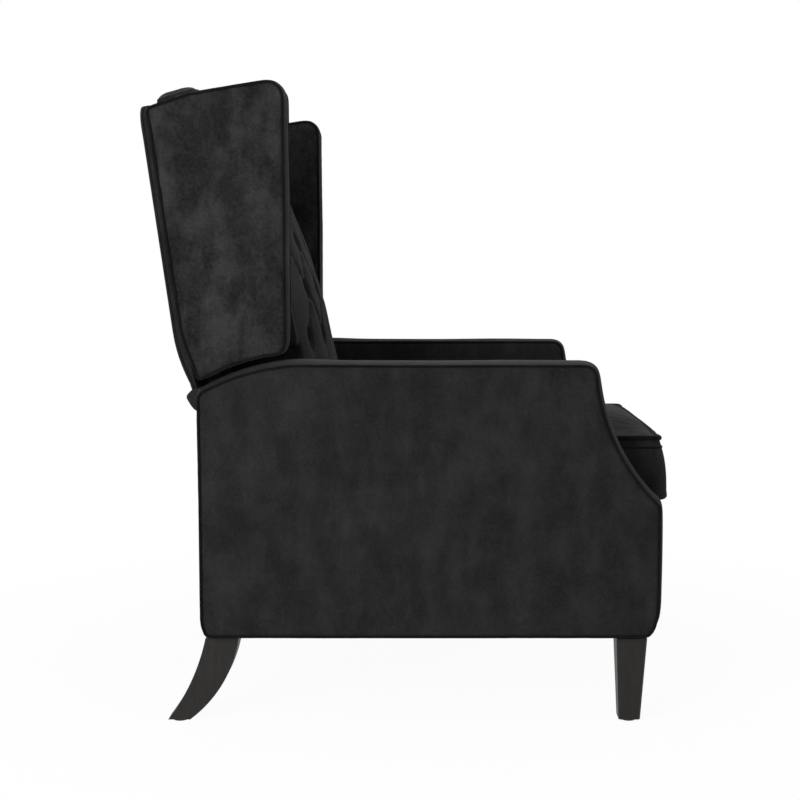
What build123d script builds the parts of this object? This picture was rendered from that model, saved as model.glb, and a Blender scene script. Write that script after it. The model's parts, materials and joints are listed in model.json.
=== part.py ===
from build123d import *
import math
import os

# A push-back recliner with wings. Millimetres: X is across the chair, -Y is its
# front, +Z is up and the floor is z = 0. "Right" is the right hand of a sitter (-X).
# Side outlines are (y, z) points. Leaning on the back tips it about the back pivots;
# it pushes the seat forward on swing links, and the seat unfolds the footrest.

# ---- Overall sizes ---------------------------------------------------------
chair_width = 730.0
arm_width = 95.0
arm_inner = chair_width / 2 - arm_width
arm_outer = chair_width / 2
leg_height = 141.0  # underside of the arms
fit = 0.3  # clearance between pieces that seat on each other
side_gap = 4.0  # seat and back to each arm
edge_round = 3.0  # the small rounding on wooden and padded edges
round_sides = 12  # heads, bores and strap ends have this many sides, and shanks are round
head_sides = 8  # rivet and bolt heads
tuft_sides = 8
arc_steps = 4  # straight runs in each arc of a padded side

# ---- Arms ------------------------------------------------------------------
arm_rear = 350.0
arm_front = -408.0
arm_top = 597.0
arm_rear_top = arm_top - 50.0
arm_shoulder = (arm_rear - 74.0, arm_top - 17.0)  # on the curve down to the rear of the arm
arm_flat_rear = arm_rear - 160.0
arm_flat_front = arm_front + 105.0
arm_slope_mid = (arm_front + 75.0, arm_top - 131.0)
arm_slope_foot = arm_top - 231.0
arm_corner = 28.0
arm_small_corner = 8.0
arm_crown = 12.0  # how far the side faces are inset from the crowned rim
crown_shoulder = 0.33  # the crown's inset a little way in, as a share of the whole inset
crown_welt = 0.8  # the crown's inset at the outer panel, as a share of the whole inset
arm_panel = 5.0  # outer panel
arm_wall = 45.0  # padding on the inner side of the arm frame
arm_rim = 22.0  # padding round the arm frame
timber = 42.0  # arm rails, measured up the side

# ---- Legs and glides -------------------------------------------------------
glide_height = 4.0
glide_radius = 13.0
leg_inset = 38.0  # leg centres, in from the arm's outer face
leg_x = arm_outer - leg_inset
front_leg_y = arm_front + 51.0
front_foot_y = front_leg_y + 1.5
front_leg_top = 50.0
front_leg_foot = 35.0
rear_leg_back = (arm_rear - 14.0, leg_height)
rear_leg_front = (rear_leg_back[0] - 54.0, leg_height)
rear_foot_back = rear_leg_back[0] + 64.0
rear_foot_front = rear_foot_back - 36.0
rear_leg_width = 46.0
rear_foot_width = 34.0
sabre_bow_front = 18.0  # how far the rear leg's front edge bows forward of a straight one
sabre_bow_back = 9.0
tenon_size = 34.0
leg_bolt_radius = 4.0
leg_bolt_length = 84.0

# ---- Back ------------------------------------------------------------------
back_lean = math.tan(math.radians(7.68))
back_foot_y = 365.0  # rear face of the outside back at back_foot_z
back_foot_z = 560.0
back_top_z = 1000.0
outside_back = 9.0
back_bulge = back_foot_y + 12.0
back_hem_z = back_foot_z - 57.0
wing_width = 78.0
wing_inner = arm_outer - wing_width
wing_front = 190.0
wing_top_front = back_top_z + 45.0
wing_top_rear = back_top_z + 6.0
wing_foot_front = arm_top + 6.0
wing_foot_mid = (wing_front + 72.0, arm_top - 6.0)
wing_foot_rear = arm_top - 43.0
wing_rear_tuck = 12.0  # how far the wing's rear foot comes in under the outside back
wing_heel_z = arm_top + 43.0
wing_corner = 34.0
wing_foot_corner = 22.0
wing_crown = 10.0
wing_wall = 52.0
wing_rim = 24.0
wing_gap = 1.0  # inside back to each wing
post_width = 25.0
post_depth = 25.0
rail_depth = 22.0
rail_height = 40.0
lumbar_z = arm_top + 43.0
post_top_z = back_top_z - 15.0
top_rail_z = post_top_z - 50.0
post_bend_z = 620.0
post_heel_z = 475.0
post_foot_z = 395.0
post_heel = (282.0, 318.0)  # front and rear of the post beside the pivot
post_inset = 1.0  # outside back to posts
web = 2.0  # webbing
cushion_bottom_z = 447.0
# The inside back's thickness in front of the outside back: low down, at given heights ...
lumbar_depths = [(200.0, cushion_bottom_z), (218.5, 490.0), (216.5, 572.0)]
# ... and above, at shares of the way from there to the top.
upper_depths = [(210.0, 0.25), (191.0, 0.49), (167.0, 0.7), (132.5, 1.0)]
face_side_drop = 26.0  # how far the face falls back at its sides
roll_rise = 35.0  # crest of the rolled top above the outside back
roll_depth = 72.0  # crest of the rolled top in front of the outside back
roll_rear_rise = 12.0
roll_bow = 5.0
roll_steps = 3
back_strips = 8
tuft_row_count = 5
tuft_low_z = arm_top + 25.0
tuft_high_z = back_top_z - 50.0
tuft_across = 4
tuft_pitch = 125.0
tuft_depth = 20.0
tuft_mouth = 27.0
button_radius = 9.0
button_height = 6.0
button_gap = 1.0  # button to the bottom of its tuft
pleat_depth = 9.0
pleat_width = 16.0
pleat_rise = 5.0

# ---- Seat ------------------------------------------------------------------
seat_front = -413.0
seat_lip = -423.0
seat_rear = 127.0
seat_welt_z = 458.0
seat_crown_z = 487.0
seat_crown_rise = 6.0  # middle of the seat above its front and rear edges
seat_side_drop = 26.0
seat_side_pull = 6.5  # how far the front edge is drawn in at its sides
seat_brow = 50.0  # depth of the rounded front edge
seat_nape = 24.0  # depth of the rounded rear edge
seat_bow = 9.0
seat_strips = 8
crown_power = 2.5  # how flat the crown is across the middle
band_top_z = 447.0
band_bottom_z = 359.0
band_waist = 6.0  # how far the band draws in halfway down
band_waist_z = 413.0
band_tuck = 1.0  # band's top edge behind the welt
seat_rail_front = -398.0
seat_rail_z = (362.0, 402.0)
seat_rail_thick = 22.0
deck = 1.5
web_width = 50.0
web_count = 6
back_web_count = 4

# ---- Mechanism -------------------------------------------------------------
back_pivot = (300.0, 430.0)
recline = 30.0
ear_steps = 4
pivot_bolt_radius = 6.0
steel = 3.0
plane_gap = 0.5
pin_radius = 4.0
pin_play = 0.15
head_radius = 7.5
head_height = 2.2
washer_radius = 15.0  # keeps the drive pin in its slot
link_half_width = 8.0
mechanism_inset = 38.0  # inner face of the seat plates, in from the arms
plate_x = arm_inner - mechanism_inset
swing_length = 70.0
swing_back = 20.0  # the swing links lean back at rest
swing_travel = 45.0
swing_front_y = -200.0
swing_rear_y = 40.0
pivot_z = 326.0  # seat pivots of the links
link_pivot_y = -280.0  # seat pivot of the front ottoman link
link_spread = 48.0  # front to rear ottoman link
link_knee = (104.0, -60.0)  # front link's upper-link pin, from its seat pivot
link_tail = (102.0, -97.0)  # front link's lower-link pin, from its seat pivot
reach = (-172.0, 52.0)  # along the upper link from its knee pin to the footrest
bracket_drop = (-10.0, -43.0)  # footrest's lower pin, from its upper pin
front_link_turn = 118.0
lower_link_turn = 2.63
footrest_turn = 105.43
open_pin_play = 1.7  # the lower link's front hole, which closes the loop
link_head = 1.0  # the ottoman links are this much wider each side than the straps they carry
slot_play = 0.6  # drive pin in its slot
base_z = (150.0, 276.0)
tube = 22.0
tube_ys = [-262.0, 30.0]
tube_wall = 2.0
lightening_holes = (-1, 0, 1)

# ---- Base frame ------------------------------------------------------------
base_rail_z = (143.0, 178.0)
front_rail_y = -355.0
apron_rear = arm_rear
apron_thick = 15.0
rear_rail_y = apron_rear - apron_thick - rail_depth
apron_top = 450.0

# ---- Footrest --------------------------------------------------------------
board_rear = -368.0
board_thick = 15.0
footrest_front = -410.0
footrest_z = (146.0, 350.0)
footrest_side_gap = 5.0
footrest_edge = 6.0
footrest_wrap = 11.0  # how far the pad reaches back round the board
board_margin = 4.0

os.makedirs("parts", exist_ok=True)


def keep(piece, name):
    """Label a finished piece and write it under its name."""
    piece.part.label = name
    export_step(piece.part, f"parts/{name}.step")


def side_plane(x):
    """The upright fore-and-aft plane at x, drawn in (y, z)."""
    return Plane.YZ.offset(x)


def shifted(point, step):
    return (point[0] + step[0], point[1] + step[1])


def swung(point, centre, degrees):
    """A (y, z) point carried round a centre; positive tips the top to the rear."""
    turn = math.radians(degrees)
    dy, dz = point[0] - centre[0], point[1] - centre[1]
    return (centre[0] + dy * math.cos(turn) + dz * math.sin(turn),
            centre[1] + dz * math.cos(turn) - dy * math.sin(turn))


def disc(x, point, radius):
    """The round face of a pin's shank on the side plane at x."""
    with BuildSketch(side_plane(x)) as face:
        with Locations(point):
            Circle(radius)
    return face.sketch


def head(x, point, radius):
    """The many-sided face of a rivet or bolt head on the side plane at x."""
    with BuildSketch(side_plane(x)) as face:
        with Locations(point):
            RegularPolygon(radius, head_sides)
    return face.sketch


def bore(x, point, radius):
    """The face of a bore that a pin turns in, on the side plane at x."""
    with BuildSketch(side_plane(x)) as face:
        with Locations(point):
            RegularPolygon(radius, round_sides, major_radius=False)
    return face.sketch


def bowed(start, end, bow, steps):
    """Points after start and up to end, along a shallow arch that rises bow to its left."""
    dy, dz = end[0] - start[0], end[1] - start[1]
    length = math.hypot(dy, dz)
    points = []
    for step in range(1, steps + 1):
        share = step / steps
        rise = 4 * bow * share * (1 - share) / length
        points.append((start[0] + share * dy - rise * dz, start[1] + share * dz + rise * dy))
    return points


def outline(x, points):
    """A straight-sided face on the side plane at x."""
    with BuildSketch(side_plane(x)) as face:
        with BuildLine():
            Polyline(*points, close=True)
        make_face()
    return face.sketch


def ring_of(face, start):
    """A face's rim as points in order, its arcs in short runs, from the corner nearest start."""
    rim = face.face().outer_wire().order_edges()
    spots = []
    for edge in rim:
        steps = 1 if edge.geom_type == GeomType.LINE else arc_steps
        spots += [edge.position_at(step / steps) for step in range(steps)]
    first = min(range(len(spots)), key=lambda index: (spots[index] - start).length)
    return spots[first:] + spots[:first]


def faceted(rings, mode=Mode.ADD):
    """A solid with flat faces through rings of points, added to the part being built."""
    skin = [Face(Wire.make_polygon(ring)) for ring in (rings[0], rings[-1])]
    for near, far in zip(rings, rings[1:]):
        for index, corner in enumerate(near):
            skin.append(Face(Wire.make_polygon([near[index - 1], corner, far[index]])))
            skin.append(Face(Wire.make_polygon([near[index - 1], far[index], far[index - 1]])))
    add(Solid(Shell(skin)), mode=mode)


def strap(x, path, half_width, bores):
    """A steel link's face: round-ended runs along a path, bored at (point, radius)."""
    with BuildSketch(side_plane(x)) as face:
        for start, end in zip(path, path[1:]):
            middle = ((start[0] + end[0]) / 2, (start[1] + end[1]) / 2)
            run = (end[0] - start[0], end[1] - start[1])
            heading = math.degrees(math.atan2(run[1], run[0]))
            with Locations(middle):
                Rectangle(math.hypot(*run), 2 * half_width, rotation=heading)
            with Locations(start, end):
                RegularPolygon(half_width, round_sides, rotation=heading)
        for point, radius in bores:
            with Locations(point):
                RegularPolygon(radius, round_sides, major_radius=False, mode=Mode.SUBTRACT)
    return face.sketch


def rear_y(z):
    """The rear face of the outside back at height z."""
    return back_foot_y + (z - back_foot_z) * back_lean


def crown_sections(inner, outer, crown):
    """(x, inset) pairs across a crowned pad, from its inner face to its outer panel."""
    return [(inner, crown), (inner + crown, crown * crown_shoulder), ((inner + outer) / 2, 0),
            (outer - crown, crown * crown_shoulder), (outer, crown * crown_welt)]


# ---- Arms ------------------------------------------------------------------
def arm_face(x, inset):
    """The arm's side outline at x, drawn in by inset."""
    rear_top = (arm_rear, arm_rear_top)
    flat_rear = (arm_flat_rear, arm_top)
    flat_front = (arm_flat_front, arm_top)
    slope_foot = (arm_front, arm_slope_foot)
    with BuildSketch(side_plane(x)) as face:
        with BuildLine():
            Line((arm_rear, leg_height), rear_top)
            ThreePointArc(rear_top, arm_shoulder, flat_rear)
            Line(flat_rear, flat_front)
            ThreePointArc(flat_front, arm_slope_mid, slope_foot)
            Line(slope_foot, (arm_front, leg_height))
            Line((arm_front, leg_height), (arm_rear, leg_height))
        make_face()
        if inset:
            offset(amount=-inset, kind=Kind.INTERSECTION)
        for corner, radius in [(flat_front, arm_corner), ((arm_front, leg_height), arm_corner),
                               ((arm_rear, leg_height), arm_small_corner)]:
            nearest = face.vertices().sort_by_distance(corner)[0]
            fillet(nearest, max(radius - inset, arm_small_corner / 2))
    return face.sketch


arm_panel_x = arm_outer - arm_panel
frame_x = arm_inner + arm_wall
frame_depth = arm_panel_x - frame_x
front_leg_centre = (leg_x, front_leg_y)
rear_leg_centre = (leg_x, (rear_leg_front[0] + rear_leg_back[0]) / 2)
leg_centres = [front_leg_centre, rear_leg_centre]
tenon_top = leg_height + arm_rim

with BuildPart() as arm_pad_left:
    sections = crown_sections(arm_inner, arm_panel_x, arm_crown)
    faceted([ring_of(arm_face(x, inset), Vector(x, arm_rear, leg_height))
             for x, inset in sections])
    extrude(arm_face(frame_x, arm_rim), amount=frame_depth, mode=Mode.SUBTRACT)
    with BuildSketch(Plane.XY.offset(leg_height - arm_crown)):
        with Locations(*leg_centres):
            Rectangle(tenon_size + 2 * fit, tenon_size + 2 * fit)
    extrude(amount=arm_rim + 2 * arm_crown, mode=Mode.SUBTRACT)
    extrude(bore(arm_inner, back_pivot, pivot_bolt_radius + fit), amount=arm_wall,
            mode=Mode.SUBTRACT)
keep(arm_pad_left, "arm_pad_left")

with BuildPart() as arm_pad_right:
    mirror(arm_pad_left.part, about=Plane.YZ)
keep(arm_pad_right, "arm_pad_right")

with BuildPart() as arm_outer_panel_left:
    extrude(arm_face(arm_panel_x, arm_crown), amount=arm_panel)
keep(arm_outer_panel_left, "arm_outer_panel_left")

with BuildPart() as arm_outer_panel_right:
    mirror(arm_outer_panel_left.part, about=Plane.YZ)
keep(arm_outer_panel_right, "arm_outer_panel_right")

frame_rear = arm_rear - arm_rim
frame_front = arm_front + arm_rim
rear_post_front = rear_leg_front[0]
front_post_rear = front_leg_y + front_leg_top + timber
frame_low = leg_height + arm_rim
frame_high = arm_top - arm_rim


def arm_timber(low, high):
    """Both copies of the part of the arm frame between two (y, z) corners."""
    with BuildPart() as piece:
        extrude(arm_face(frame_x, arm_rim + fit), amount=frame_depth)
        extrude(outline(frame_x, [low, (high[0], low[1]), high, (low[0], high[1])]),
                amount=frame_depth, mode=Mode.INTERSECT)
        with BuildSketch(Plane.XY.offset(low[1])):
            with Locations(*leg_centres):
                RegularPolygon(leg_bolt_radius + fit / 2, round_sides)
        extrude(amount=leg_bolt_length, mode=Mode.SUBTRACT)
        extrude(bore(frame_x, back_pivot, pivot_bolt_radius + fit / 2), amount=frame_depth,
                mode=Mode.SUBTRACT)
        mirror(about=Plane.YZ)
    return piece


arm_front_posts = arm_timber((frame_front - fit, frame_low), (front_post_rear, frame_high))
keep(arm_front_posts, "arm_front_posts")
arm_rear_posts = arm_timber((rear_post_front, frame_low), (frame_rear, frame_high))
keep(arm_rear_posts, "arm_rear_posts")
arm_bottom_rails = arm_timber((front_post_rear, frame_low),
                              (rear_post_front, frame_low + timber))
keep(arm_bottom_rails, "arm_bottom_rails")
arm_top_rails = arm_timber((front_post_rear, frame_high - timber), (rear_post_front, frame_high))
keep(arm_top_rails, "arm_top_rails")


# ---- Legs ------------------------------------------------------------------
def add_tenon(centre):
    """Give the leg being built its tenon, bored for its bolt."""
    with BuildSketch(Plane.XY.offset(leg_height)) as tenon:
        with Locations(centre):
            Rectangle(tenon_size, tenon_size)
    with BuildSketch(Plane.XY.offset(tenon_top)) as bolt_hole:
        with Locations(centre):
            RegularPolygon(leg_bolt_radius + fit / 2, round_sides)
    extrude(tenon.sketch, amount=arm_rim)
    extrude(bolt_hole.sketch, amount=-leg_bolt_length / 2, mode=Mode.SUBTRACT)


def leg_ring(centre, width, z):
    """The corners of a front leg's square section with its edges taken off."""
    half, cut = width / 2, width / 2 - edge_round
    corners = [(half, -cut), (half, cut), (cut, half), (-cut, half),
               (-half, cut), (-half, -cut), (-cut, -half), (cut, -half)]
    return [Vector(*shifted(centre, corner), z) for corner in corners]


with BuildPart() as front_leg_left:
    faceted([leg_ring(front_leg_centre, front_leg_top, leg_height),
             leg_ring((leg_x, front_foot_y), front_leg_foot, glide_height)])
    add_tenon(front_leg_centre)
keep(front_leg_left, "front_leg_left")

with BuildPart() as front_leg_right:
    mirror(front_leg_left.part, about=Plane.YZ)
keep(front_leg_right, "front_leg_right")

with BuildPart() as rear_leg_left:
    with BuildSketch(side_plane(leg_x - rear_leg_width / 2)) as sabre:
        knee_z = (leg_height + glide_height) / 2
        with BuildLine():
            foot_front = (rear_foot_front, glide_height)
            foot_back = (rear_foot_back, glide_height)
            ThreePointArc(rear_leg_front,
                          ((rear_leg_front[0] + rear_foot_front) / 2 - sabre_bow_front, knee_z),
                          foot_front)
            Line(foot_front, foot_back)
            ThreePointArc(foot_back,
                          ((rear_leg_back[0] + rear_foot_back) / 2 - sabre_bow_back, knee_z),
                          rear_leg_back)
            Line(rear_leg_back, rear_leg_front)
        make_face()
    extrude(sabre.sketch, amount=rear_leg_width)
    with BuildSketch(Plane.XZ.offset(-rear_foot_back)) as leg_taper:
        with BuildLine():
            Polyline((leg_x - rear_foot_width / 2, glide_height),
                     (leg_x + rear_foot_width / 2, glide_height),
                     (leg_x + rear_leg_width / 2, leg_height),
                     (leg_x - rear_leg_width / 2, leg_height), close=True)
        make_face()
    extrude(leg_taper.sketch, amount=rear_foot_back, mode=Mode.INTERSECT)
    add_tenon(rear_leg_centre)
keep(rear_leg_left, "rear_leg_left")

with BuildPart() as rear_leg_right:
    mirror(rear_leg_left.part, about=Plane.YZ)
keep(rear_leg_right, "rear_leg_right")

with BuildPart() as leg_bolts:
    with BuildSketch(Plane.XY.offset(tenon_top - leg_bolt_length / 2)):
        with Locations(*leg_centres):
            RegularPolygon(leg_bolt_radius, round_sides)
    extrude(amount=leg_bolt_length)
    mirror(about=Plane.YZ)
keep(leg_bolts, "leg_bolts")

with BuildPart() as floor_glides:
    foot_centres = [(leg_x, front_foot_y), (leg_x, (rear_foot_front + rear_foot_back) / 2)]
    with BuildSketch():
        with Locations(*foot_centres):
            RegularPolygon(glide_radius, round_sides)
    extrude(amount=glide_height)
    chamfer(floor_glides.faces().sort_by(Axis.Z)[:2].edges(), glide_height / 4)
    mirror(about=Plane.YZ)
keep(floor_glides, "floor_glides")

# ---- Base frame between the arms -------------------------------------------
base_half = arm_inner - fit
with BuildPart() as front_rail:
    extrude(outline(-base_half, [(front_rail_y, base_rail_z[0]), (front_rail_y, base_rail_z[1]),
                                 (front_rail_y + seat_rail_thick, base_rail_z[1]),
                                 (front_rail_y + seat_rail_thick, base_rail_z[0])]),
            amount=2 * base_half)
keep(front_rail, "front_rail")

with BuildPart() as rear_rail:
    extrude(outline(-base_half, [(rear_rail_y, base_rail_z[0]), (rear_rail_y, base_rail_z[1]),
                                 (apron_rear - apron_thick, base_rail_z[1]),
                                 (apron_rear - apron_thick, base_rail_z[0])]),
            amount=2 * base_half)
keep(rear_rail, "rear_rail")

with BuildPart() as rear_apron:
    extrude(outline(-base_half, [(apron_rear - apron_thick, base_rail_z[0]),
                                 (apron_rear - apron_thick, base_rail_z[1] + timber),
                                 (apron_rear - apron_thick / 2, apron_top),
                                 (apron_rear, apron_top), (apron_rear, base_rail_z[0])]),
            amount=2 * base_half)
    fillet(rear_apron.edges().filter_by(Axis.X).sort_by(Axis.Z)[-2:], edge_round / 2)
keep(rear_apron, "rear_apron")

base_plate_outer = plate_x + 2 * steel + 2 * plane_gap + steel + plane_gap
base_plate_x = base_plate_outer - steel
with BuildPart() as base_side_rails:
    side_start = front_rail_y + seat_rail_thick
    extrude(outline(base_plate_outer, [(side_start, base_rail_z[0]),
                                       (side_start, base_rail_z[1]),
                                       (rear_rail_y, base_rail_z[1]),
                                       (rear_rail_y, base_rail_z[0])]),
            amount=base_half - base_plate_outer)
    mirror(about=Plane.YZ)
keep(base_side_rails, "base_side_rails")

# ---- Mechanism pivots, as (y, z) points ------------------------------------
front_pivot = (link_pivot_y, pivot_z)
rear_pivot = shifted(front_pivot, (link_spread, 0))
knee = shifted(front_pivot, link_knee)
rear_knee = shifted(rear_pivot, link_knee)
tail = shifted(front_pivot, link_tail)
toe = shifted(knee, reach)
heel = shifted(toe, bracket_drop)
swing_rise = swing_length * math.cos(math.radians(swing_back))
swing_lag = swing_length * math.sin(math.radians(swing_back))
swing_tops = [(swing_front_y, pivot_z), (swing_rear_y, pivot_z)]
swing_feet = [shifted(top, (-swing_lag, -swing_rise)) for top in swing_tops]
seat_push = swing_lag + swing_length * math.sin(math.radians(swing_travel - swing_back))
# The seat's drive pin hangs under the back pivot, where the back's ear moves as far as the seat.
end_drop = swing_rise - swing_length * math.cos(math.radians(swing_travel - swing_back))
drive_radius = seat_push / math.tan(math.radians(recline)) - end_drop
drive_pin = (back_pivot[0], back_pivot[1] - drive_radius)
pin_hole = pin_radius + pin_play

swing_x = plate_x + steel + plane_gap
ear_x = plate_x + steel + plane_gap
lower_plane = plate_x - plane_gap - steel
link_plane = lower_plane - plane_gap - steel
upper_plane = link_plane - plane_gap - steel


def base_plate_face():
    """The base plate's outline, with its pin holes and round lightening holes."""
    boss = 2 * pin_radius + steel
    front_end = tube_ys[0] - steel
    rear_end = tube_ys[1] + tube + steel
    points = [(front_end, base_z[0]), (front_end, base_rail_z[1]),
              (swing_feet[0][0] - boss, base_z[1]), (swing_feet[1][0] + boss, base_z[1]),
              (rear_end, base_rail_z[1]), (rear_end, base_z[0])]
    with BuildSketch(side_plane(base_plate_x)) as face:
        with BuildLine():
            Polyline(*points, close=True)
        make_face()
        chamfer(face.vertices().group_by(Axis.Y)[-1], boss)
        with Locations(*swing_feet):
            RegularPolygon(pin_radius, round_sides, major_radius=False, mode=Mode.SUBTRACT)
        middle = ((swing_feet[0][0] + swing_feet[1][0]) / 2, (base_rail_z[1] + base_z[1]) / 2)
        with Locations(*[shifted(middle, (step * 4 * boss, 0)) for step in lightening_holes]):
            RegularPolygon(1.5 * boss, round_sides, mode=Mode.SUBTRACT)
    return face.sketch


with BuildPart() as base_plate_left:
    extrude(base_plate_face(), amount=steel)
keep(base_plate_left, "base_plate_left")

with BuildPart() as base_plate_right:
    mirror(base_plate_left.part, about=Plane.YZ)
keep(base_plate_right, "base_plate_right")

with BuildPart() as cross_tubes:
    for tube_y in tube_ys:
        square = [(tube_y, base_z[0]), (tube_y + tube, base_z[0]),
                  (tube_y + tube, base_z[0] + tube), (tube_y, base_z[0] + tube)]
        extrude(outline(-base_plate_x, square), amount=2 * base_plate_x)
        inward = [(tube_wall, tube_wall), (-tube_wall, tube_wall),
                  (-tube_wall, -tube_wall), (tube_wall, -tube_wall)]
        hollow = [shifted(corner, step) for corner, step in zip(square, inward)]
        extrude(outline(-base_plate_x, hollow), amount=2 * base_plate_x, mode=Mode.SUBTRACT)
keep(cross_tubes, "cross_tubes")

with BuildPart() as base_pins:
    for foot in swing_feet:
        extrude(disc(base_plate_outer, foot, pin_radius),
                amount=swing_x - plane_gap / 2 - base_plate_outer)
        extrude(head(base_plate_outer, foot, head_radius), amount=head_height)
    mirror(about=Plane.YZ)
keep(base_pins, "base_pins")

with BuildPart() as back_pivot_bolts:
    bolt_inner = ear_x - head_height
    extrude(disc(bolt_inner, back_pivot, pivot_bolt_radius),
            amount=frame_x + timber - bolt_inner)
    extrude(head(bolt_inner - steel, back_pivot, pivot_bolt_radius + steel), amount=steel)
    mirror(about=Plane.YZ)
keep(back_pivot_bolts, "back_pivot_bolts")


# ---- Swing links -----------------------------------------------------------
def swing_links(foot, top):
    """The left and right swing links between a base pin and a seat pin."""
    bores = [(foot, pin_hole), (top, pin_hole)]
    with BuildPart() as piece:
        extrude(strap(swing_x, [foot, top], link_half_width + pin_radius / 2, bores),
                amount=steel)
        mirror(about=Plane.YZ)
    return piece


front_swing_links = swing_links(swing_feet[0], swing_tops[0])
keep(front_swing_links, "front_swing_links")
rear_swing_links = swing_links(swing_feet[1], swing_tops[1])
keep(rear_swing_links, "rear_swing_links")

# ---- Seat ------------------------------------------------------------------
seat_half = arm_inner - side_gap
seat_rail_x = plate_x + steel
seat_rail_rear = seat_rail_front + seat_rail_thick
seat_back_rail = seat_rear - seat_rail_thick
plate_top = seat_rail_z[1] - pin_radius * 3
arm_bar = link_half_width + pin_radius / 2


def seat_plate_face():
    """The seat plate: deep under the seat, with a bar that runs back to the drive pin."""
    plate_front = front_pivot[0] - 2 * arm_bar
    plate_rear = swing_rear_y + 2 * arm_bar
    low = pivot_z - arm_bar
    points = [(plate_front, low), (plate_front, pivot_z + arm_bar),
              (plate_front + 2 * arm_bar, plate_top), (seat_back_rail, plate_top),
              (seat_back_rail, seat_rail_z[0]), (plate_rear, low)]
    bar = [(plate_rear - 2 * arm_bar, drive_pin[1]), drive_pin]
    with BuildSketch(side_plane(plate_x)) as face:
        with BuildLine():
            Polyline(*points, close=True)
        make_face()
        with Locations(((bar[0][0] + bar[1][0]) / 2, drive_pin[1])):
            Rectangle(bar[1][0] - bar[0][0], 2 * arm_bar)
        with Locations(drive_pin):
            RegularPolygon(arm_bar, round_sides)
        with Locations(front_pivot, rear_pivot, *swing_tops, drive_pin):
            RegularPolygon(pin_radius, round_sides, major_radius=False, mode=Mode.SUBTRACT)
    return face.sketch


with BuildPart() as seat_plate_left:
    extrude(seat_plate_face(), amount=steel)
keep(seat_plate_left, "seat_plate_left")

with BuildPart() as seat_plate_right:
    mirror(seat_plate_left.part, about=Plane.YZ)
keep(seat_plate_right, "seat_plate_right")

with BuildPart() as seat_pins:
    for pivot in (front_pivot, rear_pivot):
        extrude(disc(plate_x + steel, pivot, pin_radius),
                amount=link_plane - plane_gap / 2 - plate_x - steel)
        extrude(head(link_plane - plane_gap / 2 - head_height, pivot, head_radius),
                amount=head_height)
    for top in swing_tops:
        extrude(disc(plate_x, top, pin_radius), amount=swing_x + steel + plane_gap / 2 - plate_x)
        extrude(head(swing_x + steel + plane_gap / 2, top, head_radius), amount=head_height)
    extrude(disc(plate_x, drive_pin, pin_radius), amount=ear_x + steel + plane_gap / 2 - plate_x)
    extrude(head(ear_x + steel + plane_gap / 2, drive_pin, washer_radius), amount=head_height)
    mirror(about=Plane.YZ)
keep(seat_pins, "seat_pins")

with BuildPart() as seat_side_rail_left:
    extrude(outline(seat_rail_x, [(seat_rail_rear, seat_rail_z[0]), (seat_rail_rear, seat_rail_z[1]),
                                  (seat_back_rail, seat_rail_z[1]),
                                  (seat_back_rail, seat_rail_z[0])]), amount=post_width)
keep(seat_side_rail_left, "seat_side_rail_left")

with BuildPart() as seat_side_rail_right:
    mirror(seat_side_rail_left.part, about=Plane.YZ)
keep(seat_side_rail_right, "seat_side_rail_right")


def seat_cross_rail(start):
    """A rail across the seat frame whose front is at y = start."""
    end = start + seat_rail_thick
    rail_half = seat_rail_x + post_width
    with BuildPart() as piece:
        extrude(outline(-rail_half, [(start, seat_rail_z[0]), (start, seat_rail_z[1]),
                                     (end, seat_rail_z[1]), (end, seat_rail_z[0])]),
                amount=2 * rail_half)
    return piece


seat_front_rail = seat_cross_rail(seat_rail_front)
keep(seat_front_rail, "seat_front_rail")
seat_rear_rail = seat_cross_rail(seat_back_rail)
keep(seat_rear_rail, "seat_rear_rail")

with BuildPart() as seat_webbing:
    first_web = seat_rail_rear + web_width
    web_pitch = (seat_back_rail - web_width - first_web) / (web_count - 1)
    for count in range(web_count):
        band_y = first_web + count * web_pitch - web_width / 2
        band_low = seat_rail_z[1]
        extrude(outline(-seat_rail_x - post_width,
                        [(band_y, band_low), (band_y, band_low + web),
                         (band_y + web_width, band_low + web), (band_y + web_width, band_low)]),
                amount=2 * (seat_rail_x + post_width))
keep(seat_webbing, "seat_webbing")

deck_z = seat_rail_z[1] + web
with BuildPart() as seat_deck:
    extrude(outline(-seat_half, [(seat_rail_front, deck_z), (seat_rail_front, deck_z + deck),
                                 (seat_rear, deck_z + deck), (seat_rear, deck_z)]),
            amount=2 * seat_half)
keep(seat_deck, "seat_deck")

cushion_low = deck_z + deck + fit


def seat_section(x):
    """The seat cushion's side section at x: boxed front, welt and crown."""
    share = abs(x / seat_half) ** crown_power
    crown = seat_crown_z - share * seat_side_drop
    front = seat_front + share * seat_side_pull
    welt_z = seat_welt_z - share * edge_round
    brow = (front + seat_brow, crown)
    nape = (seat_rear - seat_nape, crown - seat_bow)
    seam = (seat_rear, crown - seat_nape - 2 * seat_bow)
    points = [(seat_rear, cushion_low), (seat_rail_front, cushion_low),
              (seat_rail_front, band_top_z), (front, band_top_z), (front, welt_z)]
    points += bowed((front, welt_z), brow, seat_bow, roll_steps)
    points += bowed(brow, nape, seat_crown_rise, roll_steps)
    points += bowed(nape, seam, seat_bow / 2, roll_steps)
    return outline(x, points)


with BuildPart() as seat_cushion:
    seat_stations = [math.sin(math.pi * (step / seat_strips - 0.5)) for step in range(seat_strips + 1)]
    loft([seat_section(seat_half * station) for station in seat_stations], ruled=True)
keep(seat_cushion, "seat_cushion")

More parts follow.
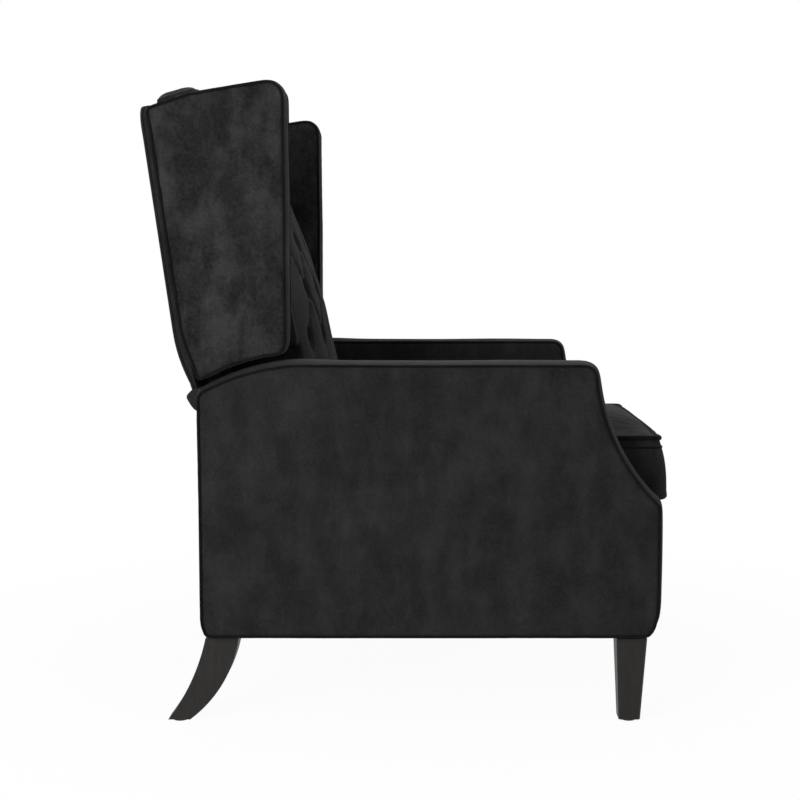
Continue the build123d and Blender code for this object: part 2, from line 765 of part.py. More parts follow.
with BuildPart() as seat_front_band:
    band_rear = seat_rail_front - fit
    extrude(outline(-seat_half, [(band_rear, band_bottom_z), (seat_lip, band_bottom_z),
                                 (seat_lip + band_waist, band_waist_z),
                                 (seat_front + band_tuck, band_top_z - fit),
                                 (band_rear, band_top_z - fit)]),
            amount=2 * seat_half)
    fillet(seat_front_band.edges().filter_by(Axis.X).sort_by(Axis.Y)[0], edge_round)
keep(seat_front_band, "seat_front_band")

# ---- Back frame ------------------------------------------------------------
post_x = ear_x + steel


def lean(z, inset):
    """A (y, z) point at height z, inset from the rear of the back."""
    return (rear_y(z) - inset, z)


post_rear_inset = outside_back + post_inset
post_front_inset = post_rear_inset + post_depth
rail_front_inset = post_front_inset + rail_depth
cushion_inset = rail_front_inset + web + 2 * fit

with BuildPart() as back_post_left:
    extrude(outline(post_x, [(post_heel[0], post_foot_z), (post_heel[0], post_heel_z),
                             lean(post_bend_z, post_front_inset), lean(post_top_z, post_front_inset),
                             lean(post_top_z, post_rear_inset), lean(post_bend_z, post_rear_inset),
                             (post_heel[1], post_heel_z), (post_heel[1], post_foot_z)]),
            amount=post_width)
    fillet(back_post_left.edges().filter_by(Axis.X).sort_by(Axis.Z)[:2], rail_depth / 2)
    extrude(bore(post_x, back_pivot, pivot_bolt_radius + pin_play), amount=post_width,
            mode=Mode.SUBTRACT)
keep(back_post_left, "back_post_left")

with BuildPart() as back_post_right:
    mirror(back_post_left.part, about=Plane.YZ)
keep(back_post_right, "back_post_right")

wing_panel_x = arm_outer - arm_panel
wing_frame_x = wing_inner + wing_wall


def back_rail(low_z, height, half_width):
    """A rail across the front of the posts, from low_z up."""
    high_z = low_z + height
    with BuildPart() as piece:
        extrude(outline(-half_width, [lean(low_z, rail_front_inset), lean(high_z, rail_front_inset),
                                      lean(high_z, post_front_inset + fit),
                                      lean(low_z, post_front_inset + fit)]),
                amount=2 * half_width)
    return piece


back_lumbar_rail = back_rail(lumbar_z, rail_height, wing_frame_x)
keep(back_lumbar_rail, "back_lumbar_rail")
back_top_rail = back_rail(top_rail_z, rail_height, wing_frame_x)
keep(back_top_rail, "back_top_rail")

with BuildPart() as back_lower_rail:
    rail_low = post_heel_z - rail_height / 2
    rail_start = post_heel[0] + edge_round
    extrude(outline(-ear_x, [(rail_start, rail_low), (rail_start, rail_low + rail_height),
                             (rail_start + rail_depth, rail_low + rail_height),
                             (rail_start + rail_depth, rail_low)]), amount=2 * ear_x)
keep(back_lower_rail, "back_lower_rail")

back_web_pitch = 2 * post_x / back_web_count
with BuildPart() as back_webbing:
    for place in (-1.5, -0.5, 0.5, 1.5):
        extrude(outline(place * back_web_pitch - web_width / 2,
                        [lean(lumbar_z, rail_front_inset + web), lean(top_rail_z + rail_height,
                                                                      rail_front_inset + web),
                         lean(top_rail_z + rail_height, rail_front_inset),
                         lean(lumbar_z, rail_front_inset)]), amount=web_width)
keep(back_webbing, "back_webbing")

with BuildPart() as back_brackets:
    ear_path = []
    for step in range(ear_steps + 1):
        share = step / ear_steps
        lean_now = math.radians(swing_back - share * swing_travel)
        moved = (drive_pin[0] + swing_length * math.sin(lean_now) - swing_lag,
                 drive_pin[1] + swing_length * math.cos(lean_now) - swing_rise)
        ear_path.append(swung(moved, back_pivot, -share * recline))
    bracket_top = (sum(post_heel) / 2 + rail_depth, post_heel_z + 1.5 * rail_height)
    ear_end = (back_pivot[0], ear_path[-1][1] - steel)
    extrude(strap(ear_x, [bracket_top, back_pivot, ear_end], arm_bar + pivot_bolt_radius,
                  [(back_pivot, pivot_bolt_radius + pin_play)]), amount=steel)
    with BuildSketch(side_plane(ear_x)) as slot:
        with Locations(*ear_path):
            RegularPolygon(pin_hole + slot_play, round_sides, major_radius=False)
        make_hull()
    extrude(slot.sketch, amount=steel, mode=Mode.SUBTRACT)
    mirror(about=Plane.YZ)
keep(back_brackets, "back_brackets")


# ---- Wings -----------------------------------------------------------------
def wing_face(x, inset):
    """The wing's side outline at x, drawn in by inset."""
    top_rear = (rear_y(wing_top_rear) - outside_back - fit, wing_top_rear)
    top_front = (wing_front, wing_top_front)
    foot_front = (wing_front, wing_foot_front)
    heel_rear = (rear_y(wing_heel_z) - outside_back - fit, wing_heel_z)
    foot_rear = (rear_y(wing_foot_rear) - outside_back - wing_rear_tuck, wing_foot_rear)
    with BuildSketch(side_plane(x)) as face:
        with BuildLine():
            Line(top_rear, top_front)
            Line(top_front, foot_front)
            ThreePointArc(foot_front, wing_foot_mid, foot_rear)
            Line(foot_rear, heel_rear)
            Line(heel_rear, top_rear)
        make_face()
        if inset:
            offset(amount=-inset, kind=Kind.INTERSECTION)
        for corner, radius in [(top_front, wing_corner), (foot_front, wing_foot_corner),
                               (top_rear, arm_small_corner * 2)]:
            nearest = face.vertices().sort_by_distance(corner)[0]
            fillet(nearest, max(radius - inset, arm_small_corner / 2))
    return face.sketch


with BuildPart() as wing_pad_left:
    sections = crown_sections(wing_inner, wing_panel_x, wing_crown)
    faceted([ring_of(wing_face(x, inset), Vector(x, wing_front, wing_foot_front))
             for x, inset in sections])
    extrude(wing_face(wing_frame_x, wing_rim), amount=wing_panel_x - wing_frame_x,
            mode=Mode.SUBTRACT)
    for low_z in (lumbar_z, top_rail_z):
        high_z = low_z + rail_height
        slot_front = rail_front_inset + fit
        slot_rear = post_front_inset
        extrude(outline(wing_inner, [lean(low_z - fit, slot_front), lean(high_z + fit, slot_front),
                                     lean(high_z + fit, slot_rear), lean(low_z - fit, slot_rear)]),
                amount=wing_wall, mode=Mode.SUBTRACT)
keep(wing_pad_left, "wing_pad_left")

with BuildPart() as wing_pad_right:
    mirror(wing_pad_left.part, about=Plane.YZ)
keep(wing_pad_right, "wing_pad_right")

with BuildPart() as wing_frame_left:
    extrude(wing_face(wing_frame_x, wing_rim + fit), amount=wing_panel_x - wing_frame_x)
keep(wing_frame_left, "wing_frame_left")

with BuildPart() as wing_frame_right:
    mirror(wing_frame_left.part, about=Plane.YZ)
keep(wing_frame_right, "wing_frame_right")

with BuildPart() as wing_outer_panel_left:
    extrude(wing_face(wing_panel_x, wing_crown), amount=arm_panel)
keep(wing_outer_panel_left, "wing_outer_panel_left")

with BuildPart() as wing_outer_panel_right:
    mirror(wing_outer_panel_left.part, about=Plane.YZ)
keep(wing_outer_panel_right, "wing_outer_panel_right")

# ---- Inside back -----------------------------------------------------------
back_half = arm_inner - side_gap
upper_half = wing_inner - wing_gap
upper_foot_z = arm_top + 2 * outside_back
upper_inset = 2.0  # the part between the wings is a little slimmer at its sides
bend_z = lumbar_depths[-1][1]
face_depths = lumbar_depths + [(depth, bend_z + share * (back_top_z - bend_z))
                               for depth, share in upper_depths]
# The inside back's front face on the centre line.
face_line = [(rear_y(z) - depth, z) for depth, z in face_depths]
crest_y = rear_y(back_top_z) - roll_depth
crest_z = back_top_z + roll_rise


def face_drop(x):
    """How far the inside back's face falls back at x."""
    return face_side_drop * (x / back_half) ** 2


def back_ring(x):
    """The inside back's side section at x as points, with its rolled top."""
    drop = face_drop(x)
    front = [(y + drop, z) for y, z in face_line]
    heel_front = post_heel[0] - rail_depth / 2
    crest = (crest_y, crest_z - roll_bow * drop / face_side_drop)
    roll_high = lean(back_top_z + roll_rear_rise, outside_back + web)
    points = front + bowed(front[-1], crest, -roll_bow, roll_steps)
    points += bowed(crest, roll_high, -roll_bow, roll_steps)
    points += [lean(post_top_z + fit, outside_back + web), lean(post_top_z + fit, cushion_inset),
               lean(lumbar_z - rail_height / 2, cushion_inset),
               (heel_front, post_heel_z + rail_depth / 4), (heel_front, cushion_bottom_z)]
    return [Vector(x, *point) for point in points]


def shoulder_section(x):
    """The slimmer strip of the inside back that fills in to the wing, above the arm."""
    drop = face_drop(back_half) + upper_inset
    tuck = outside_back + web + upper_inset
    front = [(face_y(upper_foot_z) + drop, upper_foot_z)]
    front += [(y + drop, z) for y, z in face_line if z > upper_foot_z]
    rear = [(crest_y, crest_z - roll_bow - upper_inset),
            lean(back_top_z + roll_rear_rise - upper_inset, tuck),
            lean(post_top_z + upper_inset, tuck),
            lean(post_top_z + upper_inset, cushion_inset + upper_inset),
            lean(upper_foot_z, cushion_inset + upper_inset)]
    return outline(x, front + rear)


def face_y(z):
    """The inside back's front face on the centre line, at height z."""
    for (y0, z0), (y1, z1) in zip(face_line, face_line[1:]):
        if z <= z1:
            return y0 + (y1 - y0) * (z - z0) / (z1 - z0)
    return face_line[-1][0]


def tuft_columns(row):
    """The x places of a row's buttons: a full row and one fewer in turn."""
    count = tuft_across - row % 2
    return [(column - (count - 1) / 2) * tuft_pitch for column in range(count)]


def face_point(x, z):
    return Vector(x, face_y(z) + face_drop(x), z)


def tuft_ring(centre, radius):
    """Points round a circle that lies square to the inside back's face."""
    up = face_out.cross(Vector(1, 0, 0))
    turns = [2 * math.pi * side / tuft_sides for side in range(tuft_sides)]
    return [centre + Vector(1, 0, 0) * (radius * math.cos(turn)) + up * (radius * math.sin(turn))
            for turn in turns]


face_tilt = math.atan2(face_line[-1][0] - face_line[2][0], face_line[-1][1] - face_line[2][1])
face_out = Vector(0, -math.cos(face_tilt), math.sin(face_tilt))
tuft_rise = (tuft_high_z - tuft_low_z) / (tuft_row_count - 1)
tuft_rows = [tuft_low_z + row * tuft_rise for row in range(tuft_row_count)]
tufts = [[face_point(x, z) for x in tuft_columns(row)] for row, z in enumerate(tuft_rows)]
pleats = []
for row, z in enumerate(tuft_rows):
    for tuft in tufts[row]:
        if row + 1 < len(tuft_rows):
            pleats += [(tuft, above) for above in tufts[row + 1]
                       if abs(above.X - tuft.X) < tuft_pitch]
        if row == 0:
            pleats.append((tuft, face_point(tuft.X, face_line[1][1])))
        if row == len(tuft_rows) - 1:
            pleats.append((tuft, face_point(tuft.X, face_line[-1][1])))

with BuildPart() as back_cushion:
    faceted([back_ring(back_half * (2 * step / back_strips - 1)) for step in range(back_strips + 1)])
    for side in (-1, 1):
        extrude(shoulder_section(side * (back_half - wing_gap)),
                amount=side * (upper_half - back_half + wing_gap))
    for start, end in pleats:
        along = (end - start).normalized()
        with BuildSketch(Plane(origin=start, x_dir=face_out.cross(along), z_dir=along)) as groove:
            with BuildLine():
                Polyline((-pleat_width / 2, pleat_rise), (pleat_width / 2, pleat_rise),
                         (0, -pleat_depth), close=True)
            make_face()
        extrude(groove.sketch, amount=(end - start).length, mode=Mode.SUBTRACT)
    for tuft_row in tufts:
        for tuft in tuft_row:
            faceted([tuft_ring(tuft - face_out * tuft_depth, button_radius + button_gap),
                     tuft_ring(tuft + face_out * pleat_rise, tuft_mouth)], Mode.SUBTRACT)
keep(back_cushion, "back_cushion")

with BuildPart() as tuft_buttons:
    for tuft_row in tufts:
        for tuft in tuft_row:
            button_seat = tuft - face_out * (tuft_depth - fit)
            faceted([tuft_ring(button_seat, button_radius),
                     tuft_ring(button_seat + face_out * button_height, button_radius / 2)])
keep(tuft_buttons, "tuft_buttons")

# ---- Outside back ----------------------------------------------------------
with BuildPart() as outside_back_panel:
    lean_angle = math.atan(back_lean)
    rear_normal = (0, math.cos(lean_angle), -math.sin(lean_angle))
    upright = (back_top_z - back_foot_z) / math.cos(lean_angle)
    rear_plane = Plane(origin=(0, back_foot_y, back_foot_z), x_dir=(-1, 0, 0), z_dir=rear_normal)
    with BuildSketch(rear_plane) as rear_face:
        with Locations((0, upright / 2)):
            Rectangle(2 * (arm_outer - arm_panel), upright)
        fillet(rear_face.vertices().group_by(Axis.Y)[-1], wing_corner)
    extrude(rear_face.sketch, amount=-outside_back)
    hem_front = arm_rear + web
    with BuildSketch(side_plane(-back_half)) as hem:
        with BuildLine():
            hem_top = lean(back_foot_z + outside_back, 0)
            Line((hem_front, back_hem_z), (hem_front, hem_top[1]))
            Line((hem_front, hem_top[1]), hem_top)
            ThreePointArc(hem_top, (back_bulge, (back_foot_z + back_hem_z) / 2 - edge_round),
                          (back_foot_y + web, back_hem_z))
            Line((back_foot_y + web, back_hem_z), (hem_front, back_hem_z))
        make_face()
    extrude(hem.sketch, amount=2 * back_half)
keep(outside_back_panel, "outside_back")

# ---- Footrest linkage ------------------------------------------------------
stud_through = steel + plane_gap


def stud(x, point, side):
    """A riveted stud through the next link, with its head; side is +1 outwards."""
    extrude(disc(x, point, pin_radius), amount=side * (stud_through + plane_gap / 2))
    head_x = x + side * (stud_through + plane_gap / 2)
    extrude(head(head_x, point, head_radius), amount=side * head_height)


with BuildPart() as front_ottoman_links:
    extrude(strap(link_plane, [front_pivot, knee, tail], link_half_width + link_head,
                  [(front_pivot, pin_hole)]), amount=steel)
    stud(link_plane, knee, -1)
    stud(link_plane + steel, tail, 1)
    mirror(about=Plane.YZ)
keep(front_ottoman_links, "front_ottoman_links")

with BuildPart() as rear_ottoman_links:
    extrude(strap(link_plane, [rear_pivot, rear_knee], link_half_width + link_head,
                  [(rear_pivot, pin_hole)]), amount=steel)
    stud(link_plane, rear_knee, -1)
    mirror(about=Plane.YZ)
keep(rear_ottoman_links, "rear_ottoman_links")

with BuildPart() as upper_ottoman_links:
    extrude(strap(upper_plane, [rear_knee, knee, toe], link_half_width,
                  [(rear_knee, pin_hole), (knee, pin_hole), (toe, pin_hole)]), amount=steel)
    mirror(about=Plane.YZ)
keep(upper_ottoman_links, "upper_ottoman_links")

with BuildPart() as lower_ottoman_links:
    extrude(strap(lower_plane, [tail, heel], link_half_width,
                  [(tail, pin_hole), (heel, pin_radius + open_pin_play)]), amount=steel)
    mirror(about=Plane.YZ)
keep(lower_ottoman_links, "lower_ottoman_links")

# ---- Footrest --------------------------------------------------------------
board_front = board_rear - board_thick
footrest_half = arm_inner - footrest_side_gap
with BuildPart() as footrest_board:
    extrude(outline(-footrest_half + board_margin,
                    [(board_front, footrest_z[0] + board_margin),
                     (board_front, footrest_z[1] - board_margin),
                     (board_rear, footrest_z[1] - board_margin),
                     (board_rear, footrest_z[0] + board_margin)]),
            amount=2 * (footrest_half - board_margin))
keep(footrest_board, "footrest_board")

with BuildPart() as footrest_pad:
    pad_rear = board_front + footrest_wrap
    pad_edge = footrest_front + button_height
    with BuildSketch(side_plane(-footrest_half)) as pad_section:
        with BuildLine():
            Line((pad_rear, footrest_z[0]), (pad_edge, footrest_z[0]))
            ThreePointArc((pad_edge, footrest_z[0]), (footrest_front, sum(footrest_z) / 2),
                          (pad_edge, footrest_z[1]))
            Line((pad_edge, footrest_z[1]), (pad_rear, footrest_z[1]))
            Line((pad_rear, footrest_z[1]), (pad_rear, footrest_z[0]))
        make_face()
    extrude(pad_section.sketch, amount=2 * footrest_half)
    fillet(footrest_pad.faces().sort_by(Axis.Y)[0].edges(), footrest_edge)
    pocket = board_margin - fit
    extrude(outline(-footrest_half + pocket,
                    [(board_front - fit, footrest_z[0] + pocket),
                     (board_front - fit, footrest_z[1] - pocket),
                     (board_rear, footrest_z[1] - pocket), (board_rear, footrest_z[0] + pocket)]),
            amount=2 * (footrest_half - pocket), mode=Mode.SUBTRACT)
keep(footrest_pad, "footrest_pad")

with BuildPart() as footrest_brackets:
    bracket_low = heel[1] - 3 * link_half_width
    bracket_high = toe[1] + 2 * link_half_width
    with BuildSketch(side_plane(link_plane)) as bracket_plate:
        with BuildLine():
            Polyline((board_rear, bracket_low), (board_rear, bracket_high),
                     (toe[0], bracket_high), (toe[0], heel[1]), close=True)
        make_face()
        with Locations(toe, heel):
            RegularPolygon(link_half_width + link_head, round_sides)
        split(bisect_by=Plane(origin=(board_rear, 0, 0), z_dir=(1, 0, 0)), keep=Keep.TOP)
        with Locations(toe):
            RegularPolygon(pin_radius, round_sides, major_radius=False, mode=Mode.SUBTRACT)
    extrude(bracket_plate.sketch, amount=steel)
    extrude(outline(link_plane + steel - rail_height,
                    [(board_rear, bracket_low), (board_rear, bracket_high),
                     (board_rear + steel, bracket_high), (board_rear + steel, bracket_low)]),
            amount=rail_height)
    extrude(disc(link_plane + steel, toe, pin_radius),
            amount=upper_plane - plane_gap / 2 - link_plane - steel)
    extrude(head(upper_plane - plane_gap / 2, toe, head_radius), amount=-head_height)
    stud(link_plane + steel, heel, 1)
    mirror(about=Plane.YZ)
keep(footrest_brackets, "footrest_brackets")
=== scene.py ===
import json
import math

import bmesh
import bpy
import numpy as np
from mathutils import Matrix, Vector, kdtree, noise
from mathutils.bvhtree import BVHTree


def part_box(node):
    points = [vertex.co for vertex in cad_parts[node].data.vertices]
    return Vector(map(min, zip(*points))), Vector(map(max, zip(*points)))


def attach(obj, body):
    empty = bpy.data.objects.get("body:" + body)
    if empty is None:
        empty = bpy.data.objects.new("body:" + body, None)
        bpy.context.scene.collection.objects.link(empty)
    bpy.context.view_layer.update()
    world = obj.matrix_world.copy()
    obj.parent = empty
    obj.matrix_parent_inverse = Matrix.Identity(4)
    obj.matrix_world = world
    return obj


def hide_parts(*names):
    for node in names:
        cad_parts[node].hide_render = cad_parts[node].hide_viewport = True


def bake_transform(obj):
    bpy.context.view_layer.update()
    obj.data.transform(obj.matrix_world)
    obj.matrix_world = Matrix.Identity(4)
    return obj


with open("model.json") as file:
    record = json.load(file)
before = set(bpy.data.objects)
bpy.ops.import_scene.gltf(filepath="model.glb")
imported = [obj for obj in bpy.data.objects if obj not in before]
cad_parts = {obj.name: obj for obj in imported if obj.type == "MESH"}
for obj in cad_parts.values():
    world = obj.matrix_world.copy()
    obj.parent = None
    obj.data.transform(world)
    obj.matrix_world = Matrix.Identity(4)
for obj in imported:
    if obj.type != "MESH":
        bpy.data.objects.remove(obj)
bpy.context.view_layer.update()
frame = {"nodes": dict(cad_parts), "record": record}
nodes = frame["nodes"]

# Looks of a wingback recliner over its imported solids, in metres and in their frame:
# X across, -Y to the front, +Z up. "right" is the sitter's right, at -X.

# ---- Sizes -----------------------------------------------------------------
WELT = 0.0025  # radius of the covered cord along the seams
SEAT_WELT = 0.0045
FINE_WELT = WELT * 0.85  # on the footrest and in the fold below the seat's welt
BACK_WELT = WELT * 0.9  # round the outside back
PAD_VOXEL = 0.0065  # size of the quads that a pad is remeshed to
FINE_VOXEL = 0.005
APRON_VOXEL = 0.006
WAVE_SIZE = 0.11  # slow waves of the padding
PUCKER_SIZE = 0.009
PUCKER_FADE = 0.014  # how far from a seam the puckers reach
SIM_FRAMES = 20
SIM_PRESSURE = 4.0
STATIONS = 12  # steps across a crowned pad
SAME_PLACE = 1e-5


# ---- Mesh helpers ----------------------------------------------------------
def new_object(name, verts, faces):
    mesh = bpy.data.meshes.new(name)
    mesh.from_pydata([tuple(v) for v in verts], [], faces)
    mesh.update()
    return linked(name, mesh)


def linked(name, mesh):
    obj = bpy.data.objects.new(name, mesh)
    bpy.context.scene.collection.objects.link(obj)
    return obj


def get_points(obj):
    points = np.empty(len(obj.data.vertices) * 3)
    obj.data.vertices.foreach_get("co", points)
    return points.reshape(-1, 3)


def set_points(obj, points):
    obj.data.vertices.foreach_set("co", points.astype(np.float32).ravel())
    obj.data.update()


def get_normals(obj):
    normals = np.empty(len(obj.data.vertices) * 3)
    obj.data.vertices.foreach_get("normal", normals)
    return normals.reshape(-1, 3)


def bake(obj):
    """Put the result of obj's modifiers into its mesh."""
    graph = bpy.context.evaluated_depsgraph_get()
    mesh = bpy.data.meshes.new_from_object(obj.evaluated_get(graph))
    obj.modifiers.clear()
    obj.data = mesh
    return obj


def smooth_faces(obj):
    obj.data.polygons.foreach_set("use_smooth", [True] * len(obj.data.polygons))
    return obj


def solid_copy(name, node):
    """A welded copy of a CAD node's mesh."""
    bm = bmesh.new()
    bm.from_mesh(nodes[node].data)
    bmesh.ops.remove_doubles(bm, verts=bm.verts, dist=SAME_PLACE)
    mesh = bpy.data.meshes.new(name)
    bm.to_mesh(mesh)
    bm.free()
    return linked(name, mesh)


def remeshed(obj, voxel, smoothing=2):
    """Turn a closed mesh into an even one of small quads."""
    remesh = obj.modifiers.new("remesh", "REMESH")
    remesh.mode = "VOXEL"
    remesh.voxel_size = voxel
    if smoothing:
        smooth = obj.modifiers.new("smooth", "SMOOTH")
        smooth.factor = 0.5
        smooth.iterations = smoothing
    return bake(obj)


def subdivided(obj, levels=1):
    modifier = obj.modifiers.new("subdivide", "SUBSURF")
    modifier.levels = modifier.render_levels = levels
    return smooth_faces(bake(obj))


def mirrored(obj, name):
    """A copy on the other side of the chair."""
    bm = bmesh.new()
    bm.from_mesh(obj.data)
    for vert in bm.verts:
        vert.co.x = -vert.co.x
    bmesh.ops.reverse_faces(bm, faces=bm.faces)
    mesh = bpy.data.meshes.new(name)
    bm.to_mesh(mesh)
    bm.free()
    return smooth_faces(linked(name, mesh))


def rim(node):
    """The outline, in order, of a flat panel's face that looks away from the chair's middle."""
    low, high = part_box(node)
    face_x = low.x if abs(low.x) > abs(high.x) else high.x
    bm = bmesh.new()
    bm.from_mesh(nodes[node].data)
    bmesh.ops.remove_doubles(bm, verts=bm.verts, dist=SAME_PLACE)
    flat = {f for f in bm.faces if all(abs(v.co.x - face_x) < SAME_PLACE for v in f.verts)}
    border = [e for e in bm.edges if sum(f in flat for f in e.link_faces) == 1]
    beside = {}
    for edge in border:
        for a, b in (edge.verts, reversed(edge.verts)):
            beside.setdefault(a, []).append(b)
    loop = [border[0].verts[0]]
    last = None
    while True:
        step = [v for v in beside[loop[-1]] if v is not last][0]
        if step is loop[0]:
            break
        last = loop[-1]
        loop.append(step)
    points = np.array([(v.co.y, v.co.z) for v in loop])
    bm.free()
    y, z = points.T
    turn = np.sum(y * np.roll(z, -1) - np.roll(y, -1) * z)
    return points if turn > 0 else points[::-1]


def evenly(points, spacing, closed=True):
    """Points at even steps along a line of points."""
    line = np.vstack([points, points[:1]]) if closed else np.array(points)
    lengths = np.r_[0, np.cumsum(np.linalg.norm(np.diff(line, axis=0), axis=1))]
    count = max(3, int(round(lengths[-1] / spacing)))
    at = np.linspace(0, lengths[-1], count + 1)
    if closed:
        at = at[:-1]
    return np.column_stack([np.interp(at, lengths, line[:, k]) for k in range(line.shape[1])])


def evenly_with(loop, extra):
    """The closed outline at even steps again, with a value carried along it."""
    line = np.column_stack([loop, extra])
    closed = np.vstack([line, line[:1]])
    lengths = np.r_[0, np.cumsum(np.linalg.norm(np.diff(closed[:, :2], axis=0), axis=1))]
    at = np.linspace(0, lengths[-1], len(loop) + 1)[:-1]
    return np.column_stack([np.interp(at, lengths, closed[:, k]) for k in range(3)])


def outward(loop):
    """The outward direction at each point of a closed (y, z) outline."""
    ahead = np.roll(loop, -2, axis=0) - np.roll(loop, 2, axis=0)
    ahead /= np.linalg.norm(ahead, axis=1)[:, None]
    return np.column_stack([ahead[:, 1], -ahead[:, 0]])


def grown(loop, amount):
    """A closed (y, z) outline moved outwards, by one amount or by one for each point."""
    return loop + np.reshape(amount, (-1, 1)) * outward(loop)


def crowned_pad(name, loop, inner, outer, crown):
    """A closed pad between two faces inside welts; crown is the band's rise at each point."""
    sections = []
    for share in np.linspace(0, 1, STATIONS + 1):
        ring = grown(loop, crown * math.sin(math.pi * share) ** 0.6)
        sections.append([(inner + share * (outer - inner), y, z) for y, z in ring])
    return lofted(name, sections)


def lofted(name, sections):
    """A closed mesh through sections that have the same number of points."""
    count = len(sections[0])
    verts = [v for ring in sections for v in ring]
    faces = [tuple(range(count)), tuple(range((len(sections) - 1) * count, len(verts)))[::-1]]
    for k in range(len(sections) - 1):
        for j in range(count):
            a, b = k * count + j, k * count + (j + 1) % count
            faces.append((a, a + count, b + count, b))
    obj = new_object(name, verts, faces)
    bm = bmesh.new()
    bm.from_mesh(obj.data)
    bmesh.ops.recalc_face_normals(bm, faces=bm.faces)
    bm.to_mesh(obj.data)
    bm.free()
    return obj


def tube(name, points, radius, closed=True):
    """A covered cord along a line of points."""
    curve = bpy.data.curves.new(name, "CURVE")
    curve.dimensions = "3D"
    curve.bevel_depth = radius
    curve.bevel_resolution = 3
    spline = curve.splines.new("POLY")
    spline.points.add(len(points) - 1)
    for knot, point in zip(spline.points, points):
        knot.co = (*point, 1)
    spline.use_cyclic_u = closed
    curve.use_fill_caps = not closed
    made = bpy.data.objects.new(name, curve)
    bpy.context.scene.collection.objects.link(made)
    graph = bpy.context.evaluated_depsgraph_get()
    mesh = bpy.data.meshes.new_from_object(made.evaluated_get(graph))
    bpy.data.objects.remove(made)
    return smooth_faces(linked(name, mesh))


def nearest(points, targets):
    """The number of the target nearest to each point, and how far off it lies."""
    tree = kdtree.KDTree(len(targets))
    for index, target in enumerate(targets):
        tree.insert(target, index)
    tree.balance()
    found = [tree.find(p) for p in points]
    return np.array([f[1] for f in found]), np.array([f[2] for f in found])


def distances(points, targets):
    return nearest(points, targets)[1]


def side_line(loop, x):
    return [(x, y, z) for y, z in loop]


def settled(obj, line, reach):
    """Draw each point of a line in until it lies no further than reach off obj's surface."""
    tree = BVHTree.FromPolygons([v.co for v in obj.data.vertices],
                                [tuple(p.vertices) for p in obj.data.polygons])
    placed = []
    for point in line:
        place, _, _, gap = tree.find_nearest(Vector(point))
        placed.append(place.lerp(Vector(point), min(1.0, reach / max(gap, 1e-6))))
    return placed


# ---- Cloth -----------------------------------------------------------------
def inflate(obj, limit):
    """Blow a closed cloth up from inside, each point going at most its own limit."""
    rest = get_points(obj)
    pins = obj.vertex_groups.new(name="pins")
    pins.add([int(i) for i in np.nonzero(limit <= 0)[0]], 1.0, "REPLACE")
    cloth = obj.modifiers.new("cloth", "CLOTH")
    cloth.settings.quality = 4
    cloth.settings.mass = 0.3
    cloth.settings.use_pressure = True
    cloth.settings.uniform_pressure_force = SIM_PRESSURE
    cloth.settings.tension_stiffness = 12
    cloth.settings.compression_stiffness = 12
    cloth.settings.bending_stiffness = 0.6
    cloth.settings.effector_weights.gravity = 0
    cloth.settings.vertex_group_mass = "pins"
    cloth.collision_settings.use_collision = False
    cloth.point_cache.frame_end = SIM_FRAMES
    for step in range(1, SIM_FRAMES + 1):
        bpy.context.scene.frame_set(step)
    bake(obj)
    moved = get_points(obj) - rest
    reach = np.linalg.norm(moved, axis=1)
    share = np.minimum(1, np.maximum(limit, 0) / np.maximum(reach, 1e-9))
    set_points(obj, rest + moved * share[:, None])
    bpy.context.scene.frame_set(1)
    obj.vertex_groups.clear()
    return obj


def wavy(points, size, seed):
    """Smooth noise from -1 to 1 at each point, with bumps about size across."""
    offset = Vector((seed * 3.7, seed * 1.3, seed * 2.1))
    return np.array([noise.noise(Vector(p) / size + offset) for p in points])


def relax(obj, seams, seed, wave=0.0012, pucker=0.0008):
    """Give cloth the slow waves of padding and the small puckers beside its seams."""
    points = get_points(obj)
    lift = wave * wavy(points, WAVE_SIZE, seed)
    if len(seams):
        near = np.exp(-distances(points, seams) / PUCKER_FADE)
        lift -= pucker * near * (1 + wavy(points, PUCKER_SIZE, seed + 5))
    set_points(obj, points + get_normals(obj) * lift[:, None])
    return obj


# ---- Materials -------------------------------------------------------------
def combined(tree, operation, first, second):
    """What one Math node makes of two outputs."""
    node = tree.nodes.new("ShaderNodeMath")
    node.operation = operation
    tree.links.new(first, node.inputs[0])
    tree.links.new(second, node.inputs[1])
    return node.outputs[0]


